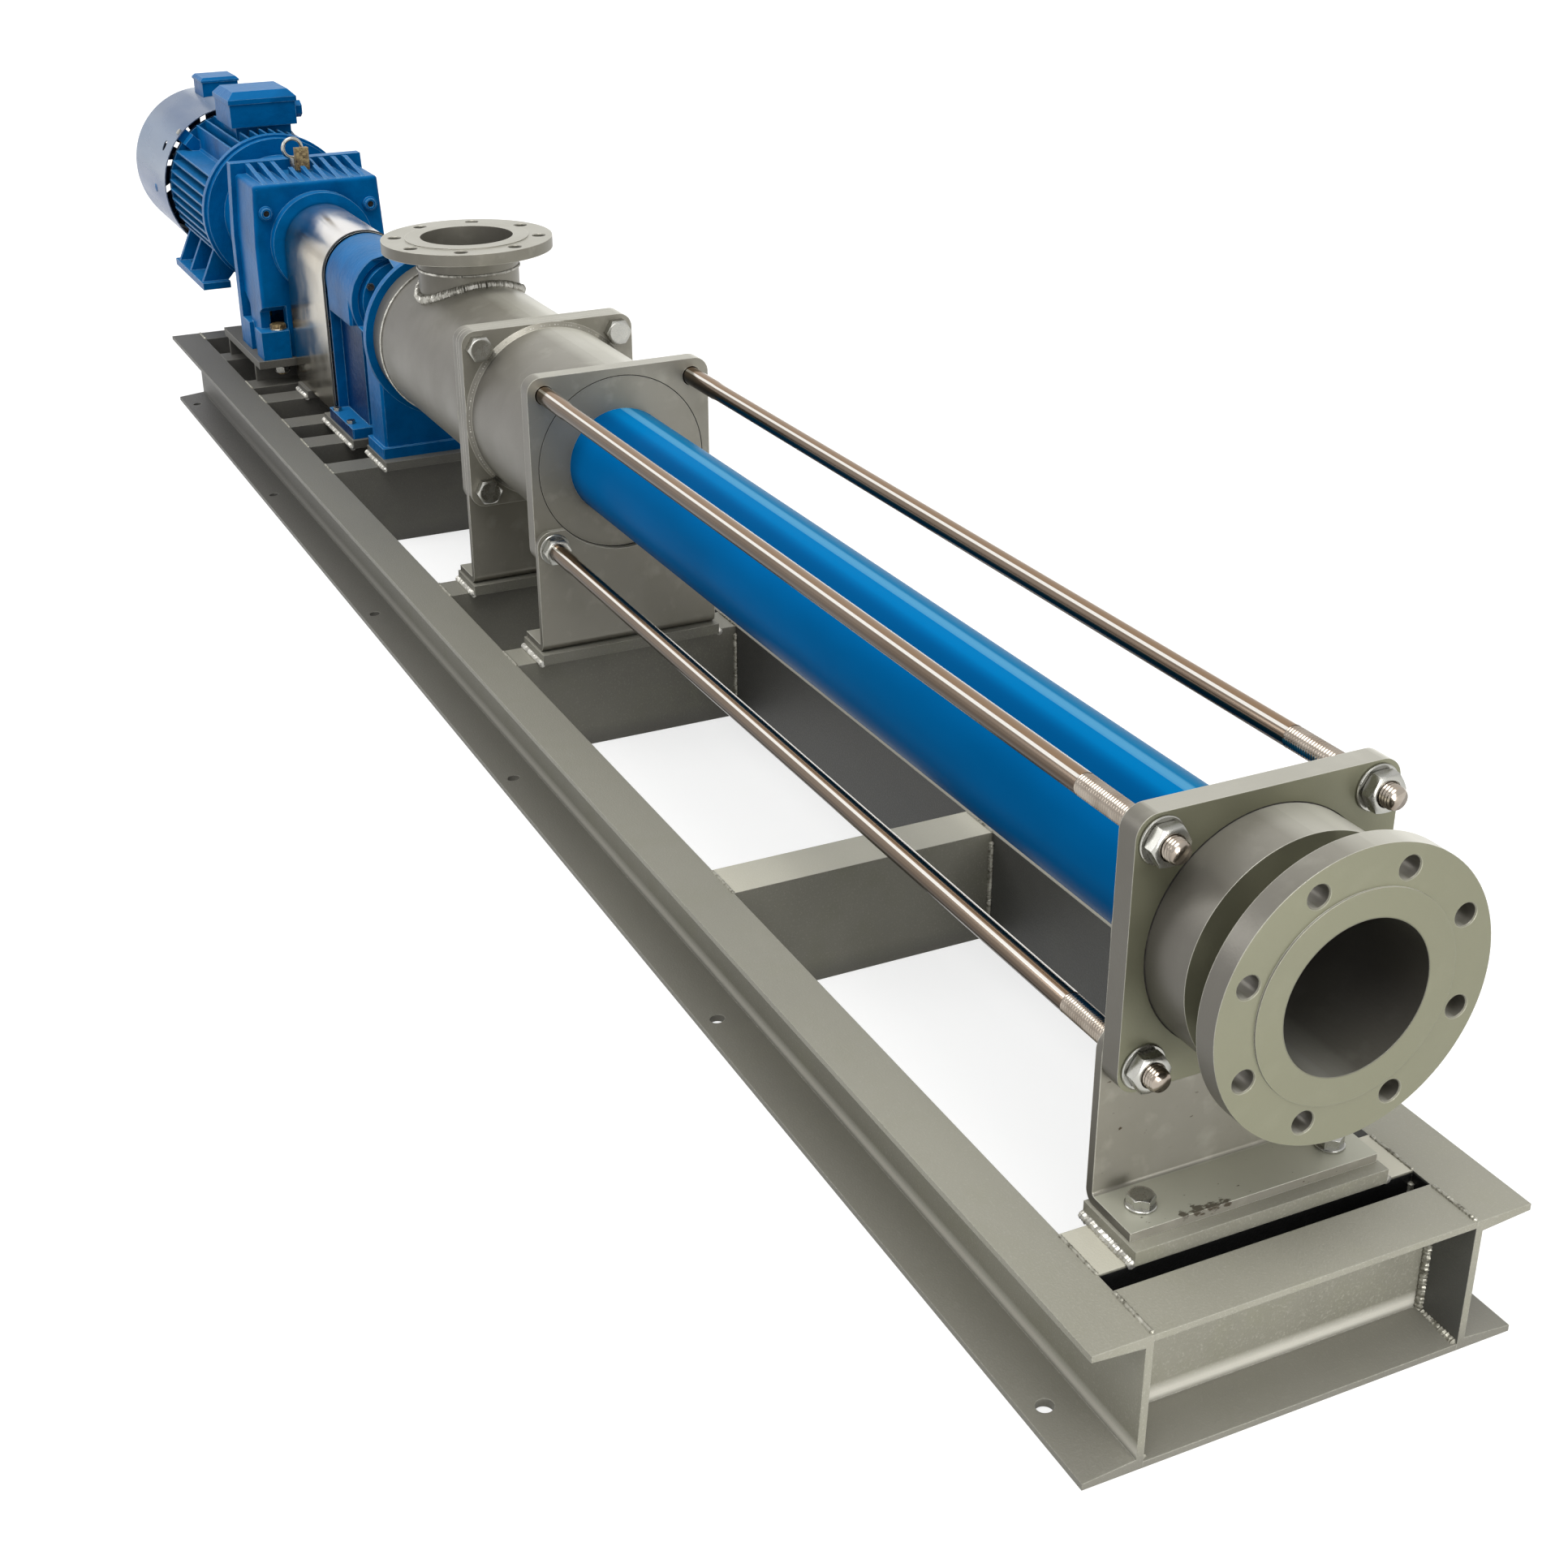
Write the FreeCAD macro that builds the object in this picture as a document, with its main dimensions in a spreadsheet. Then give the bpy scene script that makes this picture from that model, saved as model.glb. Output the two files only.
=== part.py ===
# Progressive cavity pump on a welded channel base, with geared motor drive.
# Millimetres, +Z up. Stations along the pump are measured from the discharge
# face, negative towards the motor, and heights from the pump axis. The finished
# part stands on z = 0 with the middle of its length at x = 0.
import FreeCAD, Part
import math
import os
import re
import Sketcher
from FreeCAD import Placement, Rotation, Vector

doc = FreeCAD.newDocument("ProgressiveCavityPump")
sheet = doc.addObject("Spreadsheet::Sheet", "Dim")

# Driving dimensions: alias, value, meaning.
DIMENSIONS = [
    ("axis_height", 438, "pump axis above the floor"),
    ("fit_gap", 0.3, "gap between curved faces of different moving pieces"),
    ("run_gap", 0.05, "radial running clearance of shafts"),
    ("thread_gap", 0.1, "radial gap between a bolt and its nut"),
    ("hole_gap", 1, "radial clearance of a bolt in its hole"),
    # Base frame
    ("frame_front", 4, "front end of the base, past the discharge face"),
    ("frame_length", 3820, "length of the side rails"),
    ("frame_half", 241.5, "half width over the rails"),
    ("rail_height", 150, "height of the channel section"),
    ("rail_flange", 64, "width of the channel flanges"),
    ("rail_web", 8, "web thickness of the channel"),
    ("flange_tip", 7, "flange thickness at its edge"),
    ("flange_root", 12, "flange thickness at the web"),
    ("base_hole", 18, "anchor hole in the lower flange"),
    ("base_hole_first", 96, "first anchor hole from the front end"),
    ("base_hole_pitch", 727.5, "distance between anchor holes"),
    ("base_hole_inset", 22, "anchor hole centre from the flange edge"),
    ("cross_discharge", -84, "front of the cross channel under the discharge"),
    ("cross_middle", -859, "front of the free cross channel"),
    ("pad_thick", 16, "thickness of the support pads"),
    ("pad_half", 142, "half width of the wide pads"),
    ("pad_length", 84, "length of a pad along the pump"),
    ("pad_lead", 8, "pad edge ahead of the bracket face"),
    # Discharge
    ("flange_od", 285, "pipe flange diameter"),
    ("flange_bore", 150, "bore of the pump connections"),
    ("flange_circle", 240, "bolt circle of the pipe flanges"),
    ("flange_hole", 22, "bolt hole of the pipe flanges"),
    ("flange_thick", 24, "thickness of the discharge flange"),
    ("flange_turn", 3.1, "turn of the discharge bolt holes"),
    ("face_od", 206, "raised face diameter"),
    ("face_rise", 2, "height of the raised face"),
    ("hole_chamfer", 1.2, "chamfer of the flange holes"),
    ("neck_od", 168.3, "neck behind the discharge flange"),
    ("stub_od", 240, "turned body that carries the clamp plate"),
    ("stub_front", -72, "front of the turned body"),
    ("collar_od", 254, "collar behind the clamp plate"),
    ("collar_thick", 12, "thickness of the collar"),
    ("gasket_thick", 2, "thickness of the gaskets"),
    # Clamp plates and tie rods
    ("clamp_face", -130, "front face of the discharge clamp plate"),
    ("clamp_half", 139, "half width of the square plates"),
    ("clamp_thick", 25, "thickness of the clamp plates"),
    ("clamp_corner", 22, "corner radius of the square plates"),
    ("rod_pitch", 113, "tie rod and bolt centres from the axis, both ways"),
    ("rod_od", 24, "tie rod diameter"),
    ("rod_shank_od", 26, "thicker plain end of a tie rod"),
    ("rod_shank", 90, "length of the thicker plain end"),
    ("rod_past_nut", 12, "tie rod past its nut"),
    ("rod_nut", 36, "nut width across flats"),
    ("rod_nut_thick", 14, "nut thickness"),
    ("washer_od", 46, "washer diameter"),
    ("washer_thick", 3, "washer thickness"),
    ("bracket_thick", 10, "thickness of the support brackets"),
    ("bracket_bend", 14, "outside bend radius of the brackets"),
    ("bracket_foot", 72, "foot length of the brackets"),
    ("bracket_top", -86, "top edge of the low brackets"),
    ("foot_bolt_pitch", 107, "foot bolts from the middle"),
    ("foot_bolt", 16, "foot bolt diameter"),
    ("foot_bolt_head", 24, "foot bolt width across flats"),
    ("foot_bolt_head_thick", 10, "foot bolt head thickness"),
    # Stator and rotor
    ("stator_face", -1626, "discharge side of the inlet clamp plate"),
    ("stator_od", 159, "stator tube diameter"),
    ("stator_wall", 6, "stator tube wall"),
    ("ring_thick", 16, "thickness of the stator end rings"),
    ("ring_od", 254, "diameter of the inlet end ring"),
    ("outlet_ring_od", 236, "diameter of the discharge end ring"),
    ("clamp_bore", 200, "through bore of the inlet clamp plate"),
    ("rotor_od", 70, "rotor diameter"),
    ("eccentric", 13, "eccentricity of the rotor"),
    ("rotor_pitch", 480, "pitch of the rotor"),
    # Spool and suction housing
    ("pipe_od", 265, "spool and suction housing diameter"),
    ("pipe_wall", 6, "wall of the spool and the housing"),
    ("joint_face", -1918, "discharge side of the bolted joint"),
    ("joint_thick", 16, "thickness of a joint plate"),
    ("joint_bolt", 24, "joint bolt diameter"),
    ("joint_bolt_head", 36, "joint bolt width across flats"),
    ("joint_bolt_head_thick", 15, "joint bolt head thickness"),
    ("suction_station", -2297, "middle of the suction nozzle"),
    ("suction_face", 201, "height of the suction flange face"),
    ("suction_flange_thick", 19, "thickness of the suction flange"),
    ("suction_flange_turn", 22.5, "turn of the suction bolt holes"),
    ("branch_wall", 7, "wall of the suction branch"),
    ("weld_size", 7, "throat of the branch weld"),
    ("housing_end", -2452, "rear end of the suction housing"),
    ("end_wall", 22, "end wall of the suction housing"),
    # Bearing housing and shaft line
    ("lantern_flange_od", 292, "ring flange of the bearing housing"),
    ("lantern_flange_thick", 16, "thickness of the ring flange"),
    ("lantern_od", 222, "lantern diameter behind the ring flange"),
    ("lantern_end", -2745, "rear end of the lantern"),
    ("lantern_tail", 186, "lantern diameter at its rear end"),
    ("lantern_wall", 12, "wall of the lantern"),
    ("window_length", 170, "length of a lantern window"),
    ("window_low", -40, "lower edge of a lantern window"),
    ("window_high", 92, "upper edge of a lantern window"),
    ("window_corner", 12, "cut corner of a lantern window"),
    ("barrel_od", 164, "bearing barrel diameter"),
    ("barrel_bore", 120, "bearing bore"),
    ("barrel_end", -2958, "rear face of the bearing housing"),
    ("leg_front", -2644, "front face of the front leg"),
    ("leg_length", 88, "length of the front leg"),
    ("leg_half", 76, "half width of the front leg"),
    ("leg_foot_lip", 7, "foot of a leg past the leg itself"),
    ("leg_foot_thick", 20, "thickness of a casting foot"),
    ("column_front", -2800, "front face of the rear column"),
    ("column_half", 82, "half width of the rear column"),
    ("column_foot_half", 99, "half width of the rear column foot"),
    ("column_foot_lead", 12, "foot of the column ahead of the column"),
    ("column_bolt", 10, "bolts of the rear column foot"),
    ("column_recess", 20, "depth of the hollow in the column sides"),
    ("column_rim", 10, "thickness of the rim behind the hollow"),
    ("drive_shaft_od", 60, "drive shaft diameter"),
    ("journal_od", 70, "bearing journals"),
    ("bearing_width", 28, "bearing width"),
    ("bearing_front_station", -2790, "front face of the front bearing"),
    ("bearing_rear_station", -2910, "front face of the rear bearing"),
    ("roller_od", 11, "rollers of the bearings"),
    ("cover_thick", 10, "bearing cover thickness"),
    ("gland_od", 110, "shaft seal cover diameter"),
    ("head_od", 88, "joint head of the drive shaft"),
    ("head_length", 96, "length of a joint head"),
    ("ball_od", 62, "ball end of the connecting rod"),
    ("rod_body_od", 44, "connecting rod diameter"),
    ("rotor_head_front", -1664, "front face of the rotor head"),
    ("rotor_front", -150, "discharge end of the rotor"),
    ("cup_reach", 30, "joint head past the ball centre"),
    ("joint_station", -2350, "drive side ball centre"),
    ("rotor_ball_station", -1742, "rotor side ball centre"),
    ("coupling_od", 144, "coupling hub diameter"),
    ("coupling_front", -2984, "front face of the coupling"),
    ("hub_length", 72, "length of a coupling hub"),
    ("spider_width", 26, "width of the coupling spider"),
    ("spider_arm", 9, "thickness of the spider arms"),
    ("jaw_length", 22, "length of the coupling jaws"),
    # Coupling guard
    ("guard_front", -2965, "front edge of the guard"),
    ("guard_end", -3272, "rear edge of the guard"),
    ("guard_half", 84, "outside half width of the guard"),
    ("guard_sheet", 2, "guard sheet thickness"),
    ("guard_trim", 7, "width of the rubber trim on the guard edge"),
    ("guard_foot", 26, "foot strip of the guard"),
    # Gearbox
    ("gear_front", -3290, "front face of the gearbox"),
    ("gear_length", 165, "length of the gearbox body"),
    ("gear_top", 126, "top of the gearbox body"),
    ("gear_shoulder", 131, "half width at the top of the gearbox"),
    ("gear_waist", 148, "half width of the gearbox at its foot"),
    ("gear_foot", -232, "underside of the gearbox foot"),
    ("gear_foot_thick", 59, "height of the gearbox foot"),
    ("gear_wall", 14, "wall of the gearbox"),
    ("gear_setback", 10, "gearbox body behind the foot blocks"),
    ("front_wall", 30, "front wall of the gearbox"),
    ("foot_block", 60, "width of a gearbox foot block"),
    ("foot_block_length", 56, "length of a gearbox foot block"),
    ("gear_flange_thick", 28, "thickness of the square motor flange"),
    ("gear_flange_top", 148, "top of the square motor flange"),
    ("boss_od", 212, "round boss on the gearbox front"),
    ("boss_rise", 14, "boss ahead of the gearbox front"),
    ("gear_bearing_od", 120, "output bearing diameter"),
    ("counter_bearing_od", 62, "countershaft bearing diameter"),
    ("counter_bearing_width", 18, "countershaft bearing width"),
    ("counter_shaft_od", 34, "countershaft diameter"),
    ("rib_pitch", 26, "spacing of the ribs on top of the gearbox"),
    ("rib_thick", 9, "thickness of the ribs"),
    ("plug_od", 30, "oil plug flange diameter"),
    ("plug_offset", 110, "oil plugs from the middle"),
    ("plug_height", 70, "oil plugs above the shaft"),
    ("output_od", 70, "output shaft diameter"),
    ("shaft_distance", 96, "distance between the gearbox shafts"),
    ("output_teeth", 36, "teeth of the output gear"),
    ("pinion_teeth", 12, "teeth of the countershaft pinion"),
    ("input_teeth", 14, "teeth of the motor pinion"),
    ("wheel_teeth", 50, "teeth of the countershaft wheel"),
    ("gear_width", 36, "face width of the output stage"),
    ("wheel_width", 26, "face width of the input stage"),
    ("backlash", 0.5, "backlash at the pitch circle"),
    ("stand_thick", 16, "top plate of the gearbox stand"),
    ("stand_wall", 10, "upright plates of the stand"),
    ("stand_length", 330, "length of the gearbox stand"),
    ("stand_half", 160, "half width of the gearbox stand"),
    ("gear_bolt", 20, "gearbox foot bolt diameter"),
    ("gear_bolt_head", 30, "gearbox foot bolt width across flats"),
    ("gear_bolt_inset", 20, "gearbox foot bolts from the block ends"),
    ("niche_depth", 40, "room for the foot bolts in the gearbox sides"),
    ("niche_top", -118, "top of the foot bolt niches"),
    ("gear_bolt_pitch", 107, "gearbox foot bolts from the middle"),
    ("eye_od", 47, "lifting eye outside diameter"),
    ("eye_wire", 8, "lifting eye ring thickness"),
    ("eye_rise", 47, "middle of the lifting eye above the gearbox"),
    ("eye_y", -11, "lifting eye beside the middle"),
    ("vent_y", 3, "vent plug beside the middle"),
    ("vent_width", 28, "width of the vent plug"),
    ("vent_height", 50, "height of the vent plug"),
    # Motor
    ("adapter_front_od", 250, "motor adapter diameter"),
    ("motor_face", -3660, "front face of the motor flange"),
    ("motor_flange_od", 334, "motor flange diameter"),
    ("motor_flange_thick", 18, "motor flange thickness"),
    ("motor_body_end", -4050, "rear end of the motor frame"),
    ("motor_core_od", 250, "motor frame outside its fins' roots"),
    ("motor_core_id", 226, "bore of the motor frame"),
    ("fin_od", 326, "circle over the motor fins"),
    ("fin_thick", 4, "fin thickness"),
    ("fin_pitch", 21, "fin spacing"),
    ("motor_foot_top", -158, "upper face of the motor feet"),
    ("motor_foot_thick", 15, "thickness of the motor feet"),
    ("motor_foot_half", 172, "half width over the motor feet"),
    ("motor_foot_width", 62, "width of a motor foot"),
    ("motor_foot_front", -3735, "front end of the motor feet"),
    ("motor_foot_length", 300, "length of the motor feet"),
    ("motor_shaft_od", 42, "motor shaft diameter"),
    ("motor_rotor_od", 140, "motor rotor diameter"),
    ("motor_bearing_od", 80, "motor bearing diameter"),
    ("motor_bearing_width", 16, "motor bearing width"),
    ("rib_web", 12, "thickness of the foot ribs"),
    ("motor_foot_hole", 15, "holes in the motor feet"),
    ("screw_head", 13, "width across flats of the small screws"),
    ("screw_head_thick", 6, "head height of the small screws"),
    ("shield_thick", 16, "thickness of the motor end shield"),
    ("lug_size", 30, "width of the motor frame lugs"),
    ("air_gap", 1, "motor air gap"),
    ("box_front", -3770, "front side of the terminal box"),
    ("box_length", 150, "length of the terminal box"),
    ("box_half", 74, "half width of the terminal box"),
    ("box_offset", 12, "terminal box off the motor middle"),
    ("box_bottom", 168, "underside of the terminal box"),
    ("box_height", 50, "height of the terminal box"),
    ("box_neck", 12, "terminal box wider than its neck on each side"),
    ("box_wall", 4, "wall of the terminal box"),
    ("lid_lip", 3, "lid past its box on each side"),
    ("lid_height", 26, "height of the terminal box lid"),
    ("gland_size", 32, "cable gland across flats"),
    ("cowl_front", -4046, "front edge of the fan cowl"),
    ("cowl_od", 350, "fan cowl diameter"),
    ("cowl_length", 350, "length of the fan cowl"),
    ("cowl_sheet", 2.5, "cowl sheet thickness"),
    ("cowl_hole", 26, "round opening in the cowl side"),
    ("fan_od", 290, "ventilation fan diameter"),
    ("fan_hub_od", 84, "ventilation fan hub"),
    ("fan_width", 46, "ventilation fan width"),
    ("fan_blades", 7, "ventilation fan blades"),
    ("vent_box_front", -4225, "front side of the fan terminal box"),
    ("vent_box_length", 96, "length of the fan terminal box"),
    ("vent_box_half", 43, "half width of the fan terminal box"),
    ("vent_box_offset", 17, "fan terminal box off the middle"),
    ("vent_lid", 11, "height of the fan terminal box lid"),
    ("vent_motor_od", 116, "fan drive motor diameter"),
    ("vent_motor_front", -4162, "front end of the fan drive motor"),
    ("vent_motor_length", 150, "length of the fan drive motor"),
    ("vent_shaft_od", 22, "fan drive shaft diameter"),
    ("fan_front", -4104, "front edge of the ventilation fan"),
    ("vent_box_height", 44, "height of the fan terminal box"),
]

# Derived places: alias, formula.
DERIVED = [
    ("rail_top", "=rail_height - axis_height"),
    ("floor_level", "=-axis_height"),
    ("frame_rear", "=frame_front - frame_length"),
    ("web_inner", "=frame_half - rail_flange"),
    ("pad_top", "=rail_top + pad_thick"),
    ("cowl_rear", "=cowl_front - cowl_length"),
    ("origin_shift", "=-(frame_front + cowl_rear) / 2"),
    ("clamp_back", "=clamp_face - clamp_thick"),
    ("collar_back", "=clamp_back - collar_thick"),
    ("outlet_ring_face", "=collar_back - gasket_thick"),
    ("outlet_ring_back", "=outlet_ring_face - ring_thick"),
    ("inlet_back", "=stator_face - clamp_thick"),
    ("inlet_bracket_face", "=stator_face + bracket_thick"),
    ("stator_back", "=stator_face - ring_thick"),
    ("counterbore_back", "=stator_back - gasket_thick"),
    ("joint_bracket_face", "=joint_face - joint_thick"),
    ("joint_rear_face", "=joint_bracket_face - bracket_thick"),
    ("joint_back", "=joint_rear_face - joint_thick"),
    ("discharge_foot_tip", "=clamp_back - bracket_thick + bracket_foot"),
    ("cross_inlet", "=inlet_bracket_face - 9"),
    ("cross_joint", "=joint_bracket_face - 9"),
    ("cross_leg", "=leg_front - 4"),
    ("cross_column", "=column_front - 30"),
    ("cross_column_rear", "=barrel_end - 20"),
    ("cross_guard", "=guard_end + 100"),
    ("stand_front", "=gear_front + 4"),
    ("cross_gear_front", "=stand_front - 8"),
    ("cross_gear_rear", "=stand_front - stand_length + 8 + rail_flange"),
    ("liner_od", "=stator_od - 2 * stator_wall"),
    ("housing_inner", "=pipe_od - 2 * pipe_wall"),
    ("gear_back", "=gear_front - gear_length"),
    ("gear_flange_back", "=gear_back - gear_flange_thick"),
    ("gear_body_front", "=gear_front - gear_setback"),
    ("cavity_front", "=gear_body_front - front_wall"),
    ("output_gear_front", "=cavity_front - 8"),
    ("wheel_front", "=output_gear_front - gear_width - 16"),
    ("gear_nut_face", "=gear_foot - stand_thick"),
    ("motor_flange_back", "=motor_face - motor_flange_thick"),
    ("lantern_face", "=housing_end - lantern_flange_thick"),
    ("hub_rear_front", "=coupling_front - hub_length - spider_width"),
    ("coupling_back", "=hub_rear_front - hub_length"),
    ("vent_box_bottom", "=cowl_od / 2 - 12"),
]


def fill_sheet():
    """Write the driving dimensions and the places that follow from them."""
    sheet.set("A1", "name")
    sheet.set("B1", "value")
    sheet.set("C1", "meaning")
    rows = [(alias, str(size), meaning) for alias, size, meaning in DIMENSIONS]
    rows += [(alias, formula, "derived") for alias, formula in DERIVED]
    for row, (alias, content, meaning) in enumerate(rows, 2):
        sheet.set(f"A{row}", alias)
        sheet.set(f"B{row}", content)
        sheet.setAlias(f"B{row}", alias)
        sheet.set(f"C{row}", meaning)
    doc.recompute()


fill_sheet()

parts = []
ALIASES = {alias for alias, *_ in DIMENSIONS + DERIVED}
PLANES = {"end": "YZ_Plane", "side": "XZ_Plane", "plan": "XY_Plane"}
HEX_STEP = 60
FULL_TURN = 360


def linked(formula):
    """The formula with its size names written as references to the sheet."""
    return re.sub(r"[a-z]\w*", lambda word: f"Dim.{word[0]}" if word[0] in ALIASES else word[0], str(formula))


def number(formula):
    """The present value of a formula."""
    return float(sheet.evalExpression(linked(formula)))


def bind(item, prop, formula):
    item.setExpression(prop, linked(formula))


def new_body(label):
    """A body for one sub-part, placed on the pump axis."""
    body = doc.addObject("PartDesign::Body", label)
    body.Label = label
    seat(body)
    return body


def seat(item, x="0", y="0", z="0"):
    """Place a finished sub-part, given its offset from the discharge face and axis."""
    bind(item, "Placement.Base.x", f"origin_shift + {x}")
    bind(item, "Placement.Base.y", y)
    bind(item, "Placement.Base.z", f"axis_height + {z}")
    parts.append(item)


def new_sketch(body, plane, offset="0"):
    """A sketch on one of the body's planes, moved along the plane's normal."""
    sketch = body.newObject("Sketcher::SketchObject", f"{body.Label}_sketch")
    support = next(item for item in body.Origin.OriginFeatures if item.Role == PLANES[plane])
    sketch.AttachmentSupport = [(support, "")]
    sketch.MapMode = "FlatFace"
    bind(sketch, "AttachmentOffset.Base.z", offset)
    return sketch


def pin(sketch, geometry, point, place):
    """Fix a point of the sketch at a pair of formulas."""
    for kind, formula in zip(("DistanceX", "DistanceY"), place):
        constraint = Sketcher.Constraint(kind, -1, 1, geometry, point, number(formula))
        index = sketch.addConstraint(constraint)
        bind(sketch, f"Constraints[{index}]", formula)


def polygon(sketch, corners):
    """A closed outline through corners given as pairs of formulas."""
    places = [Vector(number(u), number(v), 0) for u, v in corners]
    lines = [
        sketch.addGeometry(Part.LineSegment(start, end), False)
        for start, end in zip(places, places[1:] + places[:1])
    ]
    for line, follower in zip(lines, lines[1:] + lines[:1]):
        sketch.addConstraint(Sketcher.Constraint("Coincident", line, 2, follower, 1))
    for line, place in zip(lines, corners):
        pin(sketch, line, 1, place)


def rectangle(sketch, left, right, bottom, top):
    polygon(sketch, [(left, bottom), (right, bottom), (right, top), (left, top)])


def circle(sketch, u, v, radius):
    """A circle with its centre and radius given by formulas."""
    centre = Vector(number(u), number(v), 0)
    geometry = sketch.addGeometry(Part.Circle(centre, Vector(0, 0, 1), number(radius)), False)
    pin(sketch, geometry, 3, (u, v))
    index = sketch.addConstraint(Sketcher.Constraint("Radius", geometry, number(radius)))
    bind(sketch, f"Constraints[{index}]", radius)


def hexagon(sketch, u, v, flats, turn=0):
    """A hexagon given by its centre and width across flats."""
    corners = []
    for step in range(6):
        angle = step * HEX_STEP + turn
        reach = f"({flats}) / 2 / cos(30)"
        corners.append((f"{u} + {reach} * cos({angle})", f"{v} + {reach} * sin({angle})"))
    polygon(sketch, corners)


def radial_sketch(body, angle, reach):
    """A sketch whose normal points away from the pump axis at an angle from +Y."""
    sketch = new_sketch(body, "plan")
    sketch.AttachmentOffset = Placement(Vector(), Rotation(Vector(1, 0, 0), angle - 90))
    bind(sketch, "AttachmentOffset.Base.y", f"({reach}) * cos({angle})")
    bind(sketch, "AttachmentOffset.Base.z", f"({reach}) * sin({angle})")
    return sketch


def pad(body, sketch, length, symmetric=False):
    """Extrude a sketch along its normal, or to both sides of it."""
    feature = body.newObject("PartDesign::Pad", f"{body.Label}_pad")
    feature.Profile = sketch
    bind(feature, "Length", length)
    feature.SideType = "Symmetric" if symmetric else "One side"
    doc.recompute()
    return feature


def pocket(body, sketch, length, symmetric=False):
    """Cut a sketch against its normal, or to both sides of it."""
    before = body.Shape.Volume
    feature = body.newObject("PartDesign::Pocket", f"{body.Label}_pocket")
    feature.Profile = sketch
    bind(feature, "Length", length)
    feature.SideType = "Symmetric" if symmetric else "One side"
    doc.recompute()
    if not body.Shape.Volume < before:
        raise RuntimeError(f"{body.Label}: a pocket cuts nothing")
    return feature


def revolve(body, outline, kind="Revolution"):
    """Turn an outline of stations and radii about the body's long axis."""
    before = body.Shape.Volume if kind == "Groove" else None
    sketch = new_sketch(body, "side")
    polygon(sketch, outline)
    feature = body.newObject(f"PartDesign::{kind}", f"{body.Label}_turned")
    feature.Profile = sketch
    feature.ReferenceAxis = (sketch, ["H_Axis"])
    feature.Angle = FULL_TURN
    doc.recompute()
    if before is not None and not body.Shape.Volume < before:
        raise RuntimeError(f"{body.Label}: a groove cuts nothing")
    return feature


def turned(label, outline):
    """A sub-part made in one turning."""
    body = new_body(label)
    revolve(body, outline)
    return body


def ring(label, front, back, outer, inner):
    """A plain ring between two stations, with its radii."""
    return turned(label, [(front, inner), (front, outer), (back, outer), (back, inner)])


def round_edges(body, radius, chooser, kind="Fillet"):
    """Round or chamfer the edges of the body that the chooser picks."""
    base = body.Tip
    names = [f"Edge{i}" for i, edge in enumerate(base.Shape.Edges, 1) if chooser(edge)]
    if not names:
        raise RuntimeError(f"{body.Label}: no edge to round")
    feature = body.newObject(f"PartDesign::{kind}", f"{body.Label}_{kind.lower()}")
    feature.Base = (base, names)
    bind(feature, "Radius" if kind == "Fillet" else "Size", radius)
    body.Tip = feature
    doc.recompute()
    return feature


def is_near(first, second):
    return abs(first - second) < 1e-6


def along(edge, axis):
    """True for a straight edge along an axis."""
    if edge.Curve.TypeId != "Part::GeomLine":
        return False
    direction = edge.Curve.Direction
    return is_near(abs(getattr(direction, axis)), 1)


def corner_posts(half):
    """Chooser for the edges along the pump at the outer corners of a square plate."""
    reach = number(half)

    def chooser(edge):
        middle = edge.BoundBox.Center
        return along(edge, "x") and is_near(abs(middle.y), reach) and is_near(abs(middle.z), reach)

    return chooser


def corners_of(pitch, rows=(-1, 1)):
    """Four centres, or two of them, at equal distances from the axis."""
    return [(f"{side} * {pitch}", f"{row} * {pitch}") for row in rows for side in (-1, 1)]


def groups(label, plane, pieces):
    """Separate small solids in one sub-part, which may be a body begun before.

    Each entry gives the centres, the outline, where it starts along the plane's
    normal and its length. An outline is a list of round or hexagonal loops.
    """
    body = new_body(label) if isinstance(label, str) else label
    for centres, loops, start, length in pieces:
        sketch = new_sketch(body, plane, start)
        for u, v in centres:
            for shape, size in loops:
                if shape == "hexagon":
                    hexagon(sketch, u, v, size)
                else:
                    circle(sketch, u, v, f"({size}) / 2")
        pad(body, sketch, length)
    return body


def value(alias):
    """A size read from the sheet."""
    return float(getattr(sheet, alias))


def free_shape(label, shape, x=0.0, y=0.0, z=0.0):
    """A sub-part whose surface is made by a formula."""
    item = doc.addObject("Part::Feature", label)
    item.Label = label
    item.Shape = shape
    item.Placement = Placement(
        Vector(value("origin_shift") + x, y, value("axis_height") + z), Rotation()
    )
    parts.append(item)
    return item


def channel_outline(web_face, tip, base, into):
    """Corners of a channel section, from its web face to its flange tips."""
    web = f"{web_face} + {into} * rail_web"
    return [
        (web_face, base),
        (tip, base),
        (tip, f"{base} + flange_tip"),
        (web, f"{base} + flange_root"),
        (web, f"{base} + rail_height - flange_root"),
        (tip, f"{base} + rail_height - flange_tip"),
        (tip, f"{base} + rail_height"),
        (web_face, f"{base} + rail_height"),
    ]


def side_rails():
    """Long channels with their webs inwards and anchor holes in the lower flanges."""
    body = new_body("side_rails")
    for side in (-1, 1):
        sketch = new_sketch(body, "end", "frame_rear")
        polygon(sketch, channel_outline(f"{side} * web_inner", f"{side} * frame_half",
                                        "floor_level", side))
        pad(body, sketch, "frame_length")
    holes = new_sketch(body, "plan", "floor_level + flange_root + 1")
    for step in range(BASE_HOLES):
        place = f"frame_front - base_hole_first - {step} * base_hole_pitch"
        for side in (-1, 1):
            circle(holes, place, f"{side} * (frame_half - base_hole_inset)", "base_hole / 2")
    pocket(body, holes, "flange_root + 2")


BASE_HOLES = 6


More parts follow.
